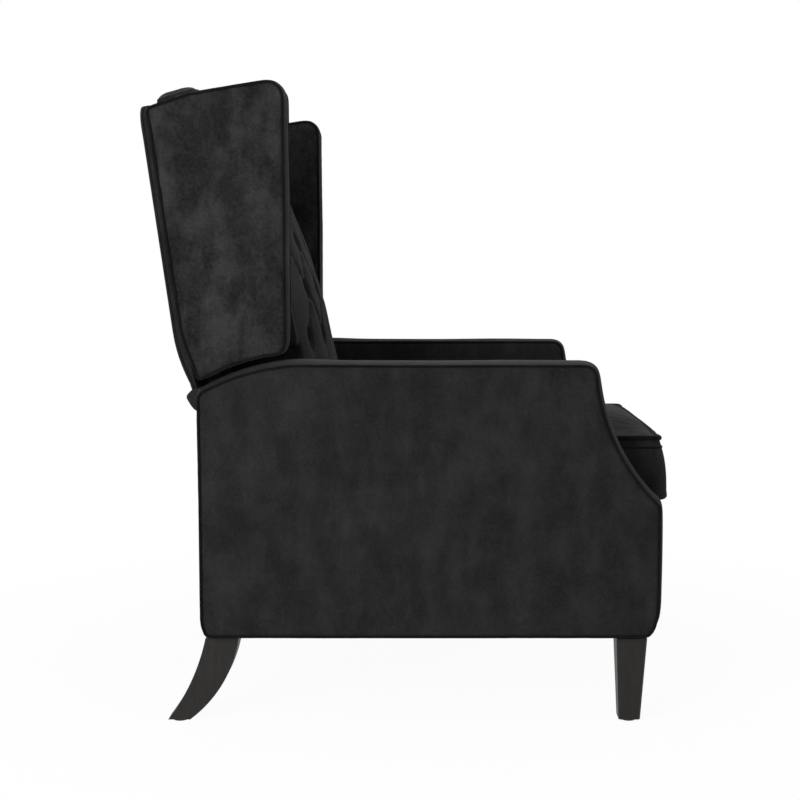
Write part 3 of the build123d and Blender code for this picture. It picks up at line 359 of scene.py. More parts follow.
class Shader:
    """A new material, with short ways to add nodes to it."""

    def __init__(self, name, roughness, metallic=0.0):
        self.material = bpy.data.materials.new(name)
        self.material.use_nodes = True
        self.tree = self.material.node_tree
        self.surface = self.tree.nodes["Principled BSDF"]
        self.surface.inputs["Roughness"].default_value = roughness
        self.surface.inputs["Metallic"].default_value = metallic
        self.place = self.add("ShaderNodeTexCoord").outputs["Object"]

    def add(self, kind, **values):
        node = self.tree.nodes.new(kind)
        for key, value in values.items():
            setattr(node, key, value)
        return node

    def join(self, source, target):
        self.tree.links.new(source, target)

    def stretched(self, scale):
        mapping = self.add("ShaderNodeMapping")
        mapping.inputs["Scale"].default_value = scale
        self.join(self.place, mapping.inputs["Vector"])
        return mapping.outputs["Vector"]

    def noise(self, scale, detail=3.0, vector=None, roughness=0.5):
        node = self.add("ShaderNodeTexNoise")
        node.inputs["Scale"].default_value = scale
        node.inputs["Detail"].default_value = detail
        node.inputs["Roughness"].default_value = roughness
        self.join(vector or self.place, node.inputs["Vector"])
        return node.outputs["Fac"]

    def wave(self, scale, vector, direction):
        node = self.add("ShaderNodeTexWave", bands_direction=direction)
        node.inputs["Scale"].default_value = scale
        self.join(vector, node.inputs["Vector"])
        return node.outputs["Fac"]

    def ramp(self, source, low, high, start=0.35, end=0.65):
        node = self.add("ShaderNodeValToRGB")
        first, last = node.color_ramp.elements
        first.position, last.position = start, end
        first.color, last.color = (*low, 1), (*high, 1)
        self.join(source, node.inputs["Fac"])
        return node.outputs["Color"]

    def blend(self, share, first, second):
        node = self.add("ShaderNodeMix", data_type="RGBA")
        if isinstance(share, float):
            node.inputs["Factor"].default_value = share
        else:
            self.join(share, node.inputs["Factor"])
        self.join(first, node.inputs[6])
        self.join(second, node.inputs[7])
        return node.outputs[2]

    def value(self, source, low, high):
        node = self.add("ShaderNodeMapRange")
        node.inputs["To Min"].default_value = low
        node.inputs["To Max"].default_value = high
        self.join(source, node.inputs["Value"])
        return node.outputs["Result"]

    def bump(self, *layers):
        """Bumps from (source, depth in metres) layers, one over the other."""
        below = None
        for source, depth in layers:
            node = self.add("ShaderNodeBump")
            node.inputs["Strength"].default_value = 1.0
            node.inputs["Distance"].default_value = depth
            self.join(source, node.inputs["Height"])
            if below is not None:
                self.join(below, node.inputs["Normal"])
            below = node.outputs["Normal"]
        self.join(below, self.surface.inputs["Normal"])

    def colour(self, source):
        self.join(source, self.surface.inputs["Base Color"])

    def set(self, **values):
        for key, value in values.items():
            self.surface.inputs[key.replace("_", " ")].default_value = value


def velvet(name, deep, pale, seed, dark=0.62, spread=0.14):
    """Cut-pile cloth: slow light and dark patches where the nap lies over, and a fine pile.

    A smaller dark or spread makes the patches stronger.
    """
    s = Shader(name, 0.9)
    shift = s.add("ShaderNodeMapping")
    shift.inputs["Location"].default_value = (seed, seed * 0.7, seed * 1.9)
    s.join(s.place, shift.inputs["Vector"])
    place = shift.outputs["Vector"]
    broad = s.noise(6, 2.0, place)
    patches = s.noise(24, 6.0, place, 0.68)
    strokes = s.noise(13, 5.0, s.stretched((1, 1.9, 0.8)), 0.6)
    speckle = s.noise(190, 2.0, place, 0.6)
    low, mid = tuple(c * dark for c in deep), deep
    base = s.ramp(broad, low, mid)
    nap = s.ramp(patches, low, pale, 0.54 - spread, 0.54 + spread)
    brushed = s.ramp(strokes, low, pale, 0.56 - spread, 0.56 + spread)
    cloth = s.blend(0.4, s.blend(0.5, base, nap), brushed)
    s.colour(s.blend(0.22, cloth, s.ramp(speckle, low, pale, 0.3, 0.7)))
    s.bump((patches, 0.0014), (speckle, 0.0005), (s.noise(900, 2.0, place), 0.0003))
    s.set(Sheen_Weight=0.07, Sheen_Roughness=0.45, Specular_IOR_Level=0.06)
    s.surface.inputs["Sheen Tint"].default_value = (0.8, 0.82, 0.86, 1)
    return s.material


def stained_wood(name):
    """Dark stained and lacquered leg wood, its grain up the leg."""
    s = Shader(name, 0.42)
    grain = s.noise(26, 6.0, s.stretched((6, 6, 0.6)), 0.6)
    fine = s.noise(160, 3.0, s.stretched((4, 4, 0.25)))
    s.colour(s.blend(0.35, s.ramp(grain, (0.0046, 0.0042, 0.0038), (0.0118, 0.0107, 0.0095)),
                     s.ramp(fine, (0.0041, 0.0038, 0.0035), (0.0108, 0.0097, 0.0086))))
    s.join(s.value(grain, 0.42, 0.56), s.surface.inputs["Roughness"])
    s.bump((fine, 0.00025), (grain, 0.0003))
    s.set(Coat_Weight=0.05, Coat_Roughness=0.35, Specular_IOR_Level=0.22)
    return s.material


def raw_timber(name, tone):
    """Frame timber with its grain along the rails."""
    s = Shader(name, 0.7)
    rings = s.noise(14, 6.0, s.stretched((1.0, 5, 7)), 0.6)
    pores = s.noise(220, 2.0, s.stretched((0.3, 2, 3)))
    light, dark, pore = ([c * k for c in tone] for k in (1.0, 0.6, 0.45))
    s.colour(s.blend(0.25, s.ramp(rings, dark, light), s.ramp(pores, pore, light)))
    s.bump((pores, 0.0002), (rings, 0.0004))
    return s.material


def plated_steel(name, low, high, roughness):
    s = Shader(name, roughness, 0.9)
    blotches = s.noise(45, 4.0)
    scratches = s.noise(320, 2.0, s.stretched((1, 0.2, 3)))
    s.colour(s.ramp(blotches, low, high))
    s.join(s.value(scratches, roughness - 0.08, roughness + 0.12), s.surface.inputs["Roughness"])
    s.bump((scratches, 0.00006))
    return s.material


def moulded(name, tone):
    s = Shader(name, 0.55)
    grain = s.noise(700, 2.0)
    s.colour(s.ramp(s.noise(60), tone, tuple(c * 1.5 for c in tone)))
    s.bump((grain, 0.0001))
    return s.material


def woven(name, low, high, count):
    """Plain weave of count threads a metre."""
    s = Shader(name, 0.85)
    weave = combined(s.tree, "MULTIPLY", s.wave(count, s.place, "X"), s.wave(count, s.place, "Y"))
    s.colour(s.blend(0.4, s.ramp(weave, low, high, 0.1, 0.8), s.ramp(s.noise(40), low, high)))
    s.bump((weave, 0.0004))
    return s.material


DEEP, PALE = (0.0115, 0.0116, 0.0118), (0.028, 0.0284, 0.029)  # the cloth's darkest and lightest
VELVET = velvet("velvet_black", DEEP, PALE, 0.0)
VELVET_WING = velvet("velvet_black_wing", (0.0105, 0.0106, 0.0108), (0.041, 0.0415, 0.0425), 2.6,
                     0.45, 0.10)
VELVET_BACK = velvet("velvet_black_back", DEEP, PALE, 4.3)
# The cords, the seat's fold cord and the buttons are of the same black velvet, but their colour
# here is painted several times darker than the cloth's, as painted shade in the seams, the fold
# and the button pits.
SHADE_PAINTED_PIPING = velvet("velvet_piping_painted_shade", (0.0030, 0.0030, 0.0031), (0.0085, 0.0085, 0.0088), 9.1)
LEG_WOOD = stained_wood("stained_wood")
TIMBER = raw_timber("raw_timber", (0.50, 0.36, 0.21))
# Frame timber that shows through the gaps, painted almost black as painted shade in those gaps.
GAP_SHADE_TIMBER = raw_timber("timber_painted_gap_shade", (0.011, 0.009, 0.007))
STEEL = plated_steel("plated_steel", (0.30, 0.30, 0.31), (0.46, 0.46, 0.47), 0.38)
RIVET = plated_steel("rivet_steel", (0.42, 0.41, 0.39), (0.60, 0.59, 0.57), 0.28)
GLIDE = moulded("glide_plastic", (0.02, 0.02, 0.02))
WEBBING = woven("jute_webbing", (0.05, 0.045, 0.04), (0.16, 0.14, 0.12), 140)
LINING = woven("lining_cloth", (0.010, 0.010, 0.011), (0.035, 0.035, 0.038), 220)


def finish_piece(obj, material, body, stands_for=()):
    obj.data.materials.clear()
    obj.data.materials.append(material)
    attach(obj, body)
    if stands_for:
        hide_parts(*stands_for)
    return obj


def both_sides(obj, base, material, body, names):
    """Finish the right-hand piece and its mirrored left-hand one."""
    finish_piece(obj, material, body, stands_for=[n + "_right" for n in names])
    twin = mirrored(obj, base + "_left")
    finish_piece(twin, material, body, stands_for=[n + "_left" for n in names])


def welt_pair(base, points, body):
    cord = tube(base + "_right", points, WELT)
    finish_piece(cord, SHADE_PAINTED_PIPING, body)
    finish_piece(mirrored(cord, base + "_left"), SHADE_PAINTED_PIPING, body)


# ---- Arms and wings --------------------------------------------------------
LOOP_STEP = 0.005  # between the points of a pad's outline
ARM_CROWN = 0.012
ARM_LIFT = 0.0045  # how far the arm's cover ends above the foot of its solid
ARM_LIMITS = (0.005, 0.003, 0.0012)  # how far the band, the outer and the inner face swell
ARM_CORNERS = ((0.020, 0.055), (-0.009, 0.034))  # reach along and up of the round lower corners
ARM_AHEAD = (0.20, 0.10)  # the arm's top crown gets lower between here and here
WING_CROWN = 0.010
WING_LIMITS = (0.004, 0.003, 0.0008)
WING_DROP = 0.7  # how far the wing's lower edge goes down, as a share of its crown
WING_FOOT = (0.55, 0.63)  # heights between which the crown of the wing's rear edge grows
WING_FOOT_CROWN = 0.35  # that crown below them, as a share
WING_BEND = (0.351, 1.0065)  # the wing's top edge falls away behind this place
WING_FALL = 0.325
ARM_EASE = (0.25, 0.25, 0.25)  # how much less crown the arm has on top, more so ahead, and at rear
WING_EASE = (0.7, 0.25, 0.6)  # and the wing at its foot, on top and at its front
CROWN_ROUNDS = 4  # times that the crown is evened out along the outline
TURN = (0.3, 0.8)  # an outline begins to face a way, and faces it fully
SKIN = 0.003  # a point this near to a face belongs to it


def smooth_step(values, low, high):
    share = np.clip((values - low) / (high - low), 0, 1)
    return share * share * (3 - 2 * share)


def facing(loop):
    """How far each point of an outline faces the rear, the floor, the front and the top."""
    y, z = outward(loop).T
    return (smooth_step(y, *TURN), smooth_step(-z, *TURN),
            np.maximum(-y, 0) ** 2, np.maximum(z, 0) ** 2)


def side_pad(base, pad, panel, crown, body, limits, standing, seed):
    """An arm or a wing: two faces inside welts and a crowned band between them.

    The band is flat where the pad stands on its legs or lies against the outside back,
    and the lower corners of the arm are round.
    """
    loop = evenly(rim(panel + "_right"), LOOP_STEP)
    to_rear, to_floor, _, _ = facing(loop)
    if standing:
        loop[:, 1] -= (crown - ARM_LIFT) * to_floor
        foot = loop[:, 1].min()
        edges = (loop[:, 0].min(), loop[:, 0].max())
        for edge, (wide, tall) in zip(edges, ARM_CORNERS):
            drop = np.clip((foot + tall - loop[:, 1]) / tall, 0, 1)
            bound = edge + wide * (1 - np.sqrt(1 - drop ** 2))
            loop[:, 0] = (np.maximum if wide > 0 else np.minimum)(loop[:, 0], bound)
    else:
        grows = (1 - WING_FOOT_CROWN) * smooth_step(loop[:, 1], *WING_FOOT)
        loop[:, 0] += crown * to_rear * (WING_FOOT_CROWN + grows)
        loop[:, 1] -= WING_DROP * crown * to_floor
        bend = WING_BEND[1] - WING_FALL * (loop[:, 0] - WING_BEND[0])
        behind = loop[:, 0] > WING_BEND[0]
        loop[:, 1] = np.where(behind, np.minimum(loop[:, 1], bend), loop[:, 1])
    loop = evenly(loop, LOOP_STEP)
    to_rear, to_floor, to_front, to_top = facing(loop)
    if standing:
        ahead = smooth_step(-loop[:, 0], -ARM_AHEAD[0], -ARM_AHEAD[1])
        top, top_ahead, rear = ARM_EASE
        rise = (1 - to_floor) * (1 - (top + top_ahead * ahead) * to_top) * (1 - rear * to_rear)
    else:
        foot, top, front = WING_EASE
        rise = (1 - to_rear) * (1 - foot * to_floor) * (1 - top * to_top - front * to_front)
    for _ in range(CROWN_ROUNDS):
        rise = (np.roll(rise, 1) + rise + np.roll(rise, -1)) / 3
    loop = evenly_with(loop, rise)
    loop, rise = loop[:, :2], loop[:, 2]
    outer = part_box(panel + "_right")[0].x
    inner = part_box(pad + "_right")[1].x
    obj = remeshed(crowned_pad(base + "_right", loop, inner, outer, crown * rise), PAD_VOXEL)
    outer_seam = side_line(loop, outer)
    inner_seam = side_line(loop, inner)
    points = get_points(obj)
    band, outer_face, inner_face = limits
    at = nearest([(0, y, z) for _, y, z in points], side_line(loop, 0))[0]
    limit = band * np.clip(rise, 0.4, 1)[at]
    limit[points[:, 0] < outer + SKIN] = outer_face
    limit[points[:, 0] > inner - SKIN] = inner_face
    limit[distances(points, outer_seam + inner_seam) < PAD_VOXEL] = 0
    limit[points[:, 2] < loop[:, 1].min() + 0.004] = 0
    inflate(obj, limit)
    relax(obj, outer_seam + inner_seam, seed)
    cloth = VELVET if standing else VELVET_WING
    both_sides(subdivided(obj), base, cloth, body, [pad, panel])
    edge = grown(loop, WELT * (1.5 * np.clip(rise * 2, 0, 1) - 0.9))
    for place, x in (("_outer_welt", outer + WELT * 0.4), ("_inner_welt", inner - WELT * 1.6)):
        welt_pair(base + place, settled(obj, side_line(edge, x), WELT * 0.7), body)


side_pad("arm", "arm_pad", "arm_outer_panel", ARM_CROWN, "chassis", ARM_LIMITS,
         standing=True, seed=1.0)
side_pad("wing", "wing_pad", "wing_outer_panel", WING_CROWN, "back", WING_LIMITS,
         standing=False, seed=2.0)


# ---- Inside back -----------------------------------------------------------
PLEAT_REACH = 0.075  # furthest that two joined buttons lie apart across the back
PLEAT_STEPS = 24
ROW_SLACK = 0.002
PLEAT_HALF = 0.008  # within this distance of a pleat the back does not swell
LOW_PLEAT = Vector((0, 0.02, 0.13))  # from the lowest buttons down
TOP_PLEAT = 0.055  # from the highest buttons up
BACK_SWELL = 0.010
SWELL_SLOPE = 0.35  # how fast it swells away from a pleat
ROLL_REAR = 0.385  # middle of the rolled top of the back, which shows behind the wings
ROLL_HALF = 0.028
ROLL_RISE = 0.0115
FOOT_FRONT = 0.1315  # front of the inside back's plump foot, just behind the seat
FOOT_TOP = (0.505, 0.470)  # heights between which the plump foot grows
FOOT_REAR = (0.20, 0.16)  # and the same toward the front
FOOT_SWELL = 0.03  # furthest that the foot comes forward
BUTTON_SIDES = 20
BUTTON_SIZE = (0.55, 0.006)  # radius as a share of the solid's width, and height
BUTTON_LIFT = 0.002
BUTTON_PROFILE = ((0.35, 0.94), (0.65, 0.76), (0.86, 0.48), (0.98, 0.16), (1.0, -0.2), (0.9, -0.5))


def islands(node):
    """The points of each separate solid in a CAD node, in the mesh's own order."""
    bm = bmesh.new()
    bm.from_mesh(nodes[node].data)
    bmesh.ops.remove_doubles(bm, verts=bm.verts, dist=SAME_PLACE)
    bm.verts.index_update()
    seen = set()
    found = []
    for first in bm.verts:
        if first.index in seen:
            continue
        seen.add(first.index)
        queue = [first]
        group = []
        while queue:
            vert = queue.pop()
            group.append(vert.co.copy())
            for edge in vert.link_edges:
                other = edge.other_vert(vert)
                if other.index not in seen:
                    seen.add(other.index)
                    queue.append(other)
        found.append(np.array(group))
    bm.free()
    return found


def in_row(places, height):
    """The buttons at one height, from the sitter's right to the left."""
    return sorted((p for p in places if abs(p.z - height) < ROW_SLACK), key=lambda p: p.x)


buttons = islands("tuft_buttons")
button_places = [Vector(group.mean(axis=0)) for group in buttons]
rows = sorted({round(place.z, 3) for place in button_places})
first_row = in_row(button_places, rows[0])
last_row = in_row(button_places, rows[-1])
row_rise = (rows[-1] - rows[0]) / (len(rows) - 1)
face_lean = (last_row[0] - first_row[0]).normalized()
face_out = Vector((0, -face_lean.z, face_lean.y)).normalized()
if face_out.y > 0:
    face_out = -face_out
pleat_lines = [(low, high) for low in button_places for high in button_places
               if 0.5 * row_rise < high.z - low.z < 1.5 * row_rise
               and abs(high.x - low.x) < PLEAT_REACH]
pleat_lines += [(p, p - LOW_PLEAT) for p in first_row]
pleat_lines += [(p, p + face_lean * TOP_PLEAT) for p in last_row]
crease_points = [start.lerp(end, step / PLEAT_STEPS) for start, end in pleat_lines
                 for step in range(PLEAT_STEPS + 1)]

back_soft = remeshed(solid_copy("inside_back", "back_cushion"), FINE_VOXEL, 1)
back_points = get_points(back_soft)
back_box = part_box("back_cushion")
on_front = get_normals(back_soft) @ np.array(face_out) > 0.15
flat_gap = distances(back_points, crease_points)
back_limit = np.where(on_front, np.clip((flat_gap - PLEAT_HALF) * SWELL_SLOPE, 0, BACK_SWELL), 0)
back_limit[np.abs(back_points[:, 0]) > back_box[1].x - 0.004] = 0
back_limit[back_points[:, 2] < back_box[0].z + 0.006] = 0
inflate(back_soft, back_limit)
relax(back_soft, crease_points, 3.0, wave=0.0008, pucker=0.0006)
back_points = get_points(back_soft)
roll = np.exp(-((back_points[:, 1] - ROLL_REAR) / ROLL_HALF) ** 4)
roll *= smooth_step(-np.abs(back_points[:, 0]), -back_box[1].x, -back_box[1].x + 0.03)
near_top = smooth_step(back_points[:, 2], back_box[1].z - 0.06, back_box[1].z - 0.02)
back_points[:, 2] += near_top * (0.001 + ROLL_RISE * roll)
foot = smooth_step(-back_points[:, 2], -FOOT_TOP[0], -FOOT_TOP[1])
foot *= smooth_step(-back_points[:, 1], -FOOT_REAR[0], -FOOT_REAR[1])
back_points[:, 1] -= foot * np.clip(back_points[:, 1] - FOOT_FRONT, 0, FOOT_SWELL)
set_points(back_soft, back_points)
finish_piece(subdivided(back_soft), VELVET_BACK, "back", stands_for=["back_cushion"])


def domed_button(bm, centre, outward, radius, height):
    """A covered button: a low dome with a rolled edge."""
    turn = outward.to_track_quat("Z", "Y")
    rings = []
    for share, lift in BUTTON_PROFILE:
        ring = []
        for step in range(BUTTON_SIDES):
            angle = 2 * math.pi * step / BUTTON_SIDES
            local = Vector((math.cos(angle) * share * radius, math.sin(angle) * share * radius,
                            lift * height))
            ring.append(bm.verts.new(centre + turn @ local))
        rings.append(ring)
    crown = bm.verts.new(centre + turn @ Vector((0, 0, height)))
    for k in range(BUTTON_SIDES):
        after = (k + 1) % BUTTON_SIDES
        bm.faces.new((crown, rings[0][k], rings[0][after]))
        for low, high in zip(rings, rings[1:]):
            bm.faces.new((low[k], high[k], high[after], low[after]))
    bm.faces.new(rings[-1][::-1])


button_mesh = bmesh.new()
for group, place in zip(buttons, button_places):
    width = group[:, 0].max() - group[:, 0].min()
    domed_button(button_mesh, place + face_out * BUTTON_LIFT, face_out, width * BUTTON_SIZE[0],
                 BUTTON_SIZE[1])
button_data = bpy.data.meshes.new("back_buttons")
button_mesh.to_mesh(button_data)
button_mesh.free()
back_buttons = subdivided(linked("back_buttons", button_data))
finish_piece(back_buttons, SHADE_PAINTED_PIPING, "back", stands_for=["tuft_buttons"])


# ---- Seat, band, footrest, outside back and apron --------------------------
SEAT_SAG = 0.004  # how far the seat's front seam drops between its corners
SEAT_LIMITS = (0.004, 0.003, 0.0015)  # how far its top, its front and the rest of it swell
SEAT_TOP_DROP = 0.0075  # how far the seat's top lies below its solid's
SEAT_SIDE_ROOM = 0.2653  # half the width that keeps the seat's cord clear of the arms
SEAT_CORNER = 0.006  # how far the seat's front corners reach forward
CORNER_ACROSS, CORNER_AHEAD = (0.20, 0.262), (0.37, 0.405)  # where they begin and are full
SEAT_DIP = (-0.358, 0.024, 0.003)  # place, reach and depth of the dip behind its front edge
RIPPLE = (0.0013, 0.028)  # height and size of the ripples behind the front seam
RIPPLE_AHEAD = (0.25, 0.36)  # where they begin and are full
SEAT_BEND = 0.015  # radius of the seat's front corners
PROUD = 0.0034  # how much further than its solid the seat's band leans out
BAND_STEPS = 12
BAND_THICK = 0.003
BAND_TOP = 0.003  # how far it begins below the seat's welt
BAND_FOOT = 0.008  # how far its lip begins above the foot of its solid
BAND_LIP = ((0.0045, 0.013), (0.0085, 0.010), (0.010, 0.002))  # back from and below the rim
FOLD_DROP = 0.016  # from the seat's welt down to the fold
WELT_ABOVE_BAND = 0.0115
CORD_STEP = 0.006  # between the points of a seam


def soft_panel(name, node, body, limit_of, seed, seams=(), voxel=PAD_VOXEL):
    """A padded piece over a CAD solid; limit_of gives how far each point may swell."""
    obj = remeshed(solid_copy(name, node), voxel)
    points = get_points(obj)
    normals = get_normals(obj)
    inflate(obj, limit_of(points, normals))
    relax(obj, seams, seed)
    return finish_piece(subdivided(obj), VELVET, body, stands_for=[node])


seat_low, seat_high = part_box("seat_cushion")
band_low, band_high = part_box("seat_front_band")
seat_half = seat_high.x
welt_z = band_high.z + WELT_ABOVE_BAND
seat_front_y = seat_low.y


def round_line(half, front, rear, z, corner):
    """A line forward along one side, across the front and back along the other."""
    points = [(half, rear, z)]
    for side in (1, -1):
        for step in range(7):
            angle = math.pi / 2 * (step / 6 if side > 0 else 1 - step / 6)
            x = side * (half - corner + corner * math.cos(angle))
            points.append((x, front + corner - corner * math.sin(angle), z))
    points.append((-half, rear, z))
    return evenly(np.array(points), CORD_STEP, closed=False)


def laid_on(obj, line, centre, lift):
    """Move each point of a level line onto obj's surface, seen from the centre, then lift it."""
    tree = BVHTree.FromPolygons([v.co for v in obj.data.vertices],
                                [tuple(p.vertices) for p in obj.data.polygons])
    placed = []
    for point in line:
        point = Vector(point)
        away = Vector((point.x - centre[0], point.y - centre[1], 0))
        start = Vector((centre[0], centre[1], point.z)) + away * 1.4
        hit = tree.ray_cast(start, -away.normalized())[0]
        found = (hit or point) + away.normalized() * lift
        found.x = max(-SEAT_SIDE_ROOM, min(SEAT_SIDE_ROOM, found.x))
        placed.append(found)
    return placed


def front_sag(x, y):
    """How far the seat's front seam hangs at (x, y)."""
    return SEAT_SAG * max(0.0, 1 - (x / seat_half) ** 2) * (y < seat_front_y + 0.03)


seat_seam = [(x, y, z - front_sag(x, y)) for x, y, z in
             round_line(seat_half, seat_front_y, seat_high.y - 0.03, welt_z, SEAT_BEND)]


def seat_limit(points, normals):
    top, front, rest = SEAT_LIMITS
    limit = np.where(normals[:, 2] > 0.3, top, rest)
    limit = np.where(normals[:, 1] < -0.6, front, limit)
    limit[points[:, 2] < seat_low.z + 0.004] = 0
    limit[distances(points, seat_seam) < PAD_VOXEL] = 0
    return limit


seat = soft_panel("seat", "seat_cushion", "seat", seat_limit, seed=4.0,
                  seams=seat_seam)
points = get_points(seat)
dip_y, dip_reach, dip = SEAT_DIP
points[:, 2] -= smooth_step(points[:, 2], welt_z, welt_z + 0.02) * (
    SEAT_TOP_DROP + dip * np.exp(-((points[:, 1] - dip_y) / dip_reach) ** 2))
corner = smooth_step(np.abs(points[:, 0]), *CORNER_ACROSS)
corner *= smooth_step(-points[:, 1], *CORNER_AHEAD)
points[:, 1] -= SEAT_CORNER * corner
ripple = smooth_step(-points[:, 1], *RIPPLE_AHEAD)
ripple *= smooth_step(points[:, 2], welt_z, welt_z + 0.015)
points += get_normals(seat) * (RIPPLE[0] * ripple * wavy(points, RIPPLE[1], 11.0))[:, None]
set_points(seat, points)
seat_centre = (0, seat_front_y + 0.2)
seat_cord = laid_on(seat, seat_seam, seat_centre, SEAT_WELT * 1.1)
finish_piece(tube("seat_welt", seat_cord, SEAT_WELT, closed=False), SHADE_PAINTED_PIPING, "seat")


def boxing(name, line, top, foot, lean, thick):
    """The upright band round the seat below its welt: it leans out in front to a rolled lip."""
    outer = [(1 - (1 - share) ** 2.5, top + share * (foot - top))
             for share in np.linspace(0, 1, BAND_STEPS + 1)]
    drawn = []
    for k, point in enumerate(line):
        ahead = Vector(line[min(k + 1, len(line) - 1)]) - Vector(line[max(k - 1, 0)])
        out = Vector((ahead.y, -ahead.x, 0)).normalized()
        if out.dot(Vector((point[0], point[1] - seat_centre[1], 0))) < 0:
            out = -out
        front = max(0.0, -out.y)
        rim_out = front * lean
        ring = [(share * rim_out, z) for share, z in outer]
        ring += [(rim_out + 0.001 * front, foot - 0.004), (rim_out + 0.0012 * front, foot - 0.008),
                 (rim_out - 0.001, foot - 0.0115)]
        ring += [(rim_out - back * (0.4 + front), foot - down) for back, down in BAND_LIP]
        ring += [(-thick, top - 0.02), (-thick - 0.001, top)]
        sag = front_sag(point[0], point[1])
        drawn.append([(point[0] + out.x * o, point[1] + out.y * o, z - sag * (z > top - 0.03))
                      for o, z in ring])
    return lofted(name, drawn)


box_line = [(x, y, 0) for x, y, _ in round_line(seat_half + 0.0004, seat_front_y + 0.0005,
                                                seat_high.y - 0.02, 0, 0.014)]
front_band = boxing("front_band", box_line, top=welt_z - BAND_TOP, foot=band_low.z + BAND_FOOT,
                    lean=seat_front_y - band_low.y + PROUD, thick=BAND_THICK)
fold_line = round_line(seat_half, seat_front_y, seat_high.y - 0.03, welt_z - FOLD_DROP, SEAT_BEND)
relax(front_band, fold_line, 5.0, wave=0.0004, pucker=0.0006)
finish_piece(subdivided(front_band), VELVET, "seat", stands_for=["seat_front_band"])
# A cord sunk into the fold, in the darkened piping colour: painted shade along the fold's crease.
fold_cord = laid_on(front_band, fold_line, seat_centre, -WELT * 0.2)
finish_piece(tube("seat_fold", fold_cord, FINE_WELT, closed=False), SHADE_PAINTED_PIPING, "seat")


pad_low, pad_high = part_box("footrest_pad")
FOOT_INSET = 0.006  # the footrest's welt, in from its edges
FOOT_LIMIT = 0.006  # how far its middle swells
REAR_LIMIT = 0.003  # and how far the outside back and the apron do


def footrest_limit(points, normals):
    inside = np.minimum(np.abs(np.abs(points[:, 0]) - pad_high.x),
                        np.minimum(points[:, 2] - pad_low.z, pad_high.z - points[:, 2]))
    limit = np.clip(inside * 0.2, 0, FOOT_LIMIT)
    return np.where(normals[:, 1] < -0.5, limit, 0.0)


left, right = pad_low.x + FOOT_INSET, pad_high.x - FOOT_INSET
bottom, top = pad_low.z + FOOT_INSET, pad_high.z - FOOT_INSET
foot_corners = np.array([(left, bottom), (right, bottom), (right, top), (left, top)])
foot_seam = [(x, pad_low.y + 0.008, z) for x, z in evenly(foot_corners, CORD_STEP)]
soft_panel("footrest_cushion", "footrest_pad", "footrest", footrest_limit, seed=6.0,
           seams=foot_seam, voxel=FINE_VOXEL)
finish_piece(tube("footrest_welt", foot_seam, FINE_WELT), SHADE_PAINTED_PIPING, "footrest")


def rear_limit(points, normals):
    return np.where(normals[:, 1] > 0.6, REAR_LIMIT, 0.0)


hem_low, hem_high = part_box("outside_back")
BACK_Y, BACK_Z = 0.365, 0.560  # a place on the panel's rear face, low down
REAR_LEAN = (hem_high.y - BACK_Y) / (hem_high.z - BACK_Z)
HEM_HALF = 0.266  # half the width of the rolled hem
HEM_END = 0.006  # how far it takes to close at each end
HEM_ROLL = ((0.361, 0.502), (0.368, 0.511), (0.3745, 0.5215), (0.3768, 0.527), (0.3725, 0.533),
            (0.3645, 0.540), (0.3565, 0.5465))
HEM_FRONT = (((0.340, 0.549), (0.350, 0.540)), ((0.341, 0.5485), (0.350, 0.503)))  # shut, open
HEM_SHUT = (0.347, 0.549)
PANEL_FOOT = 0.552
PANEL_STEPS = 60
FRONT_STEPS = 40
TUCK_TOP = 0.64  # below this height the panel is drawn in
REAR_TUCK, FRONT_TUCK = 0.0175, 0.0105
BACK_BULGE = 0.004
BACK_THICK = 0.009
BACK_STATIONS = 91  # sections across it
BACK_SPREAD = 0.0025  # how far the panel reaches past its solid at each side
CORNER = 0.034  # radius of the panel's top corners
SHOULDER = (0.007, 0.28, 0.33)  # drop of the panel's top toward its sides, and where


def share_of(value, start, end):
    """How far value has gone from start to end, from 0 to 1."""
    return min(1.0, max(0.0, (value - start) / (end - start)))


def toward(start, end, share):
    return tuple(a + share * (b - a) for a, b in zip(start, end))


def panel_face(z, tuck):
    """Where the panel's leaning face lies at height z, with its foot drawn in by tuck."""
    low = share_of(-z, -TUCK_TOP, -PANEL_FOOT)
    return BACK_Y + (z - BACK_Z) * REAR_LEAN - tuck * low * low


def rear_section(x, half):
    """The outside back's section at x: a rolled hem, the cloth drawn in above it, the panel."""
    reach = max(0.0, abs(x) - (half - CORNER))
    top = hem_high.z - (CORNER - math.sqrt(max(0.0, CORNER ** 2 - reach ** 2)))
    top -= SHOULDER[0] * share_of(abs(x), *SHOULDER[1:])
    hem = 1 - share_of(abs(x), HEM_HALF - HEM_END, HEM_HALF)
    rear = [toward(HEM_SHUT, point, hem) for point in HEM_ROLL]
    across = math.sqrt(max(0.0, 1 - (x / half) ** 2))
    for step in range(PANEL_STEPS + 1):
        z = PANEL_FOOT + (top - PANEL_FOOT) * step / PANEL_STEPS
        bulge = BACK_BULGE * math.sin(math.pi * step / PANEL_STEPS) * across
        rear.append((panel_face(z, REAR_TUCK) + bulge, z - 0.002 * (step == PANEL_STEPS)))
    front = [(panel_face(z, FRONT_TUCK) - BACK_THICK, z)
             for z in np.linspace(top - 0.002, PANEL_FOOT + 0.004, FRONT_STEPS)]
    front += [toward(shut, opened, hem) for shut, opened in HEM_FRONT]
    return [(x, y, z) for y, z in rear + front]


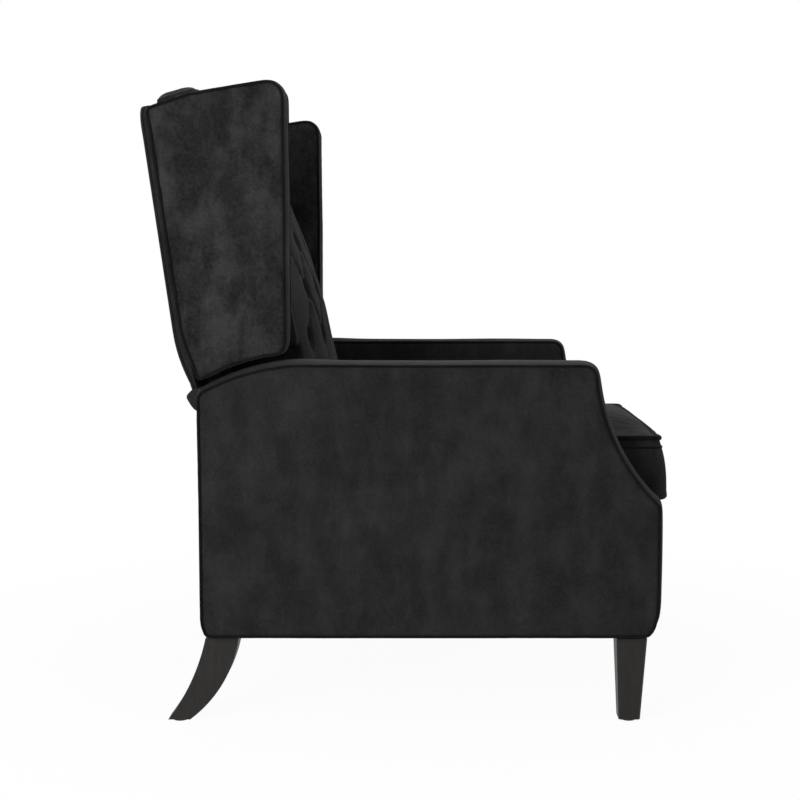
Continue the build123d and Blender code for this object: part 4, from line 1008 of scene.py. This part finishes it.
back_edge = hem_high.x + BACK_SPREAD
stations = np.unique(np.round(np.concatenate([
    np.linspace(-back_edge, back_edge, BACK_STATIONS), [s * v for s in (-1, 1) for v in (
        HEM_HALF, HEM_HALF - HEM_END / 2, HEM_HALF - HEM_END, back_edge - 0.002,
        back_edge - 0.006, back_edge - 0.012, back_edge - 0.02)]]), 5))
outside = lofted("outside_back_cover", [rear_section(x, back_edge) for x in stations])
inflate(outside, rear_limit(get_points(outside), get_normals(outside)))
relax(outside, (), 7.0, wave=0.0009)
finish_piece(subdivided(outside), VELVET_BACK, "back", stands_for=["outside_back"])
TOP_POINT = len(HEM_ROLL) + PANEL_STEPS  # the section's point at the panel's top
side_points = range(len(HEM_ROLL) - 1, TOP_POINT - 1, 2)
left_side, right_side = (rear_section(x, back_edge) for x in (back_edge, -back_edge))
back_rim = [(x, y - 0.0005, z) for x, y, z in (
    [left_side[k] for k in side_points]
    + [rear_section(x, back_edge)[TOP_POINT] for x in stations[::-1]]
    + [right_side[k] for k in reversed(side_points)])]
finish_piece(tube("outside_back_welt", back_rim, BACK_WELT, closed=False), VELVET_BACK, "back")

APRON_SPREAD = 0.010  # how far the apron's edges are drawn out, against the arms
apron = soft_panel("apron_cover", "rear_apron", "chassis", rear_limit, seed=8.0,
                   voxel=APRON_VOXEL)
points = get_points(apron)
near_edge = smooth_step(np.abs(points[:, 0]), 0.24, 0.26)
points[:, 0] += np.sign(points[:, 0]) * APRON_SPREAD * near_edge
set_points(apron, points)
apron_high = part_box("rear_apron")[1]


FLAP_INSET = 0.004  # the flap's ends, in from the apron's
FLAP_FOLD = 0.0028
FLAP_LOOSE = 0.006  # how far its middle hangs inwards


def flap(name, half, low, high, folds):
    """The loose cloth that closes the gap between the apron and the back above it."""
    across, up = 90, 16
    verts, faces = [], []
    for i in range(across + 1):
        x = -half + 2 * half * i / across
        for j in range(up + 1):
            share = j / up
            loose = math.sin(math.pi * share) ** 0.7
            fold = FLAP_FOLD * loose * math.sin(2 * math.pi * folds * (x / half))
            fold *= math.cos(3 * x / half)
            y = low[0] + share * (high[0] - low[0]) - loose * FLAP_LOOSE + fold
            verts.append((x, y, low[1] + share * (high[1] - low[1])))
    for i in range(across):
        for j in range(up):
            a = i * (up + 1) + j
            faces.append((a, a + up + 1, a + up + 2, a + 1))
    return smooth_faces(new_object(name, verts, faces))


# Where it is sewn on, as (y, z): to the apron and to the outside back.
flap_low = (apron_high.y - 0.004, apron_high.z - 0.012)
flap_high = (apron_high.y + 0.008, hem_low.z + 0.012)
flap_half = apron_high.x - FLAP_INSET
back_flap = flap("back_flap", flap_half, flap_low, flap_high, folds=7)
back_flap.data.materials.append(VELVET_BACK)
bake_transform(back_flap)

deck_low, deck_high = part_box("seat_deck")
DECK_STEPS = 30
DECK_SAG = 0.0006
deck_verts, deck_faces = [], []
for i in range(DECK_STEPS + 1):
    for j in range(DECK_STEPS + 1):
        u, v = i / DECK_STEPS, j / DECK_STEPS
        sag = DECK_SAG * math.sin(math.pi * u) * math.sin(math.pi * v)
        deck_verts.append((deck_low.x + u * (deck_high.x - deck_low.x),
                           deck_low.y + v * (deck_high.y - deck_low.y), deck_low.z + 0.001 - sag))
for i in range(DECK_STEPS):
    for j in range(DECK_STEPS):
        a = i * (DECK_STEPS + 1) + j
        deck_faces.append((a, a + 1, a + DECK_STEPS + 2, a + DECK_STEPS + 1))
deck_cloth = smooth_faces(new_object("deck_cloth", deck_verts, deck_faces))
finish_piece(deck_cloth, LINING, "seat", ["seat_deck"])

# ---- Carried-over nodes ----------------------------------------------------
finish_of = {"velvet": VELVET, "dust_cloth": LINING, "webbing": WEBBING, "frame_wood": TIMBER,
             "leg_wood": LEG_WOOD, "steel": STEEL, "rivet": RIVET, "glide": GLIDE}
edge_of = {"frame_wood": 0.0015, "leg_wood": 0.0012, "steel": 0.0004, "rivet": 0.0006,
           "glide": 0.0005}
for part in frame["record"]["subparts"]:
    node = nodes[part["node"]]
    slot = part["material_slot"]
    node.data.materials.clear()
    # The back frames, rear posts and rear rail show through gaps, so they take the timber painted
    # dark as the shade there.
    dark = part["node"].startswith("back_") or part["node"] in ("arm_rear_posts", "rear_rail")
    node.data.materials.append(GAP_SHADE_TIMBER if slot == "frame_wood" and dark else finish_of[slot])
    if slot in edge_of:
        bevel = node.modifiers.new("edges", "BEVEL")
        bevel.width = edge_of[slot]
        bevel.segments = 2
        bevel.limit_method = "ANGLE"
        bevel.angle_limit = math.radians(40)
        bevel.harden_normals = False

# ---- Studio ----------------------------------------------------------------
GROUND = 30  # half the floor's width
SPOT = (0.5, 1.3)  # the floor's shade fades out between these distances from the chair's middle
SPOT_GLOW = (0.95, 1.0)  # how much of the floor glows at the first and at the second
AMBIENT = 0.18


def shown(tree, share, first, second, output):
    """Show first where share is 0 and second where it is 1."""
    mix = tree.nodes.new("ShaderNodeMixShader")
    for source, target in zip((share, first.outputs[0], second.outputs[0]), mix.inputs):
        tree.links.new(source, target)
    tree.links.new(mix.outputs[0], tree.nodes[output].inputs["Surface"])


floor = new_object("floor", [(-GROUND, -GROUND, 0), (GROUND, -GROUND, 0), (GROUND, GROUND, 0),
                             (-GROUND, GROUND, 0)], [(0, 1, 2, 3)])
ground = Shader("floor_white", 0.9)
ground.set(Base_Color=(1, 1, 1, 1))
glow = ground.add("ShaderNodeEmission")
glow.inputs["Strength"].default_value = 1.0
away = ground.add("ShaderNodeVectorMath", operation="LENGTH")
ground.join(ground.place, away.inputs[0])
fade = ground.add("ShaderNodeMapRange")
fade.inputs["From Min"].default_value, fade.inputs["From Max"].default_value = SPOT
fade.inputs["To Min"].default_value, fade.inputs["To Max"].default_value = SPOT_GLOW
ground.join(away.outputs["Value"], fade.inputs["Value"])
rays = ground.add("ShaderNodeLightPath").outputs
plain = combined(ground.tree, "MAXIMUM", rays["Is Camera Ray"], rays["Is Glossy Ray"])
share = combined(ground.tree, "MULTIPLY", plain, fade.outputs["Result"])
shown(ground.tree, share, ground.surface, glow, "Material Output")
floor.data.materials.append(ground.material)

world = bpy.data.worlds.new("studio")
bpy.context.scene.world = world
world.use_nodes = True
tree = world.node_tree
sky = tree.nodes["Background"]
white = tree.nodes.new("ShaderNodeBackground")
for background, strength in ((sky, AMBIENT), (white, 1.0)):
    background.inputs["Color"].default_value = (1, 1, 1, 1)
    background.inputs["Strength"].default_value = strength
rays = tree.nodes.new("ShaderNodeLightPath").outputs
plain = combined(tree, "MAXIMUM", rays["Is Camera Ray"], rays["Is Transmission Ray"])
plain = combined(tree, "MAXIMUM", plain, rays["Is Glossy Ray"])
shown(tree, plain, sky, white, "World Output")


def softbox(name, place, aim, size, power):
    """A large soft lamp."""
    data = bpy.data.lights.new(name, "AREA")
    data.shape = "RECTANGLE"
    data.size, data.size_y = size
    data.energy = power
    lamp = bpy.data.objects.new(name, data)
    lamp.location = place
    lamp.rotation_euler = (Vector(aim) - Vector(place)).to_track_quat("-Z", "Y").to_euler()
    bpy.context.scene.collection.objects.link(lamp)


softbox("key", (-2.9, 1.7, 1.5), (0, 0, 0.5), (1.8, 1.8), 106)
softbox("top", (-0.2, -0.3, 3.2), (0, 0, 0.5), (2.2, 2.2), 16)
softbox("front_fill", (-2.2, -2.6, 1.5), (0, 0, 0.5), (1.8, 1.8), 20)
softbox("far_fill", (3.0, 0.6, 1.8), (0, 0, 0.5), (2.0, 2.0), 14)

camera_data = bpy.data.cameras.new("camera")
camera_data.lens = 63.57
camera_data.sensor_width = 36
camera_data.shift_x = -0.046
camera = bpy.data.objects.new("camera", camera_data)
camera.location = (-2.595, -0.040, 0.753)
camera.rotation_euler = (math.radians(90 - 5.66), 0, math.radians(-90))
bpy.context.scene.collection.objects.link(camera)
bpy.context.scene.camera = camera
bpy.context.scene.view_settings.view_transform = "Standard"
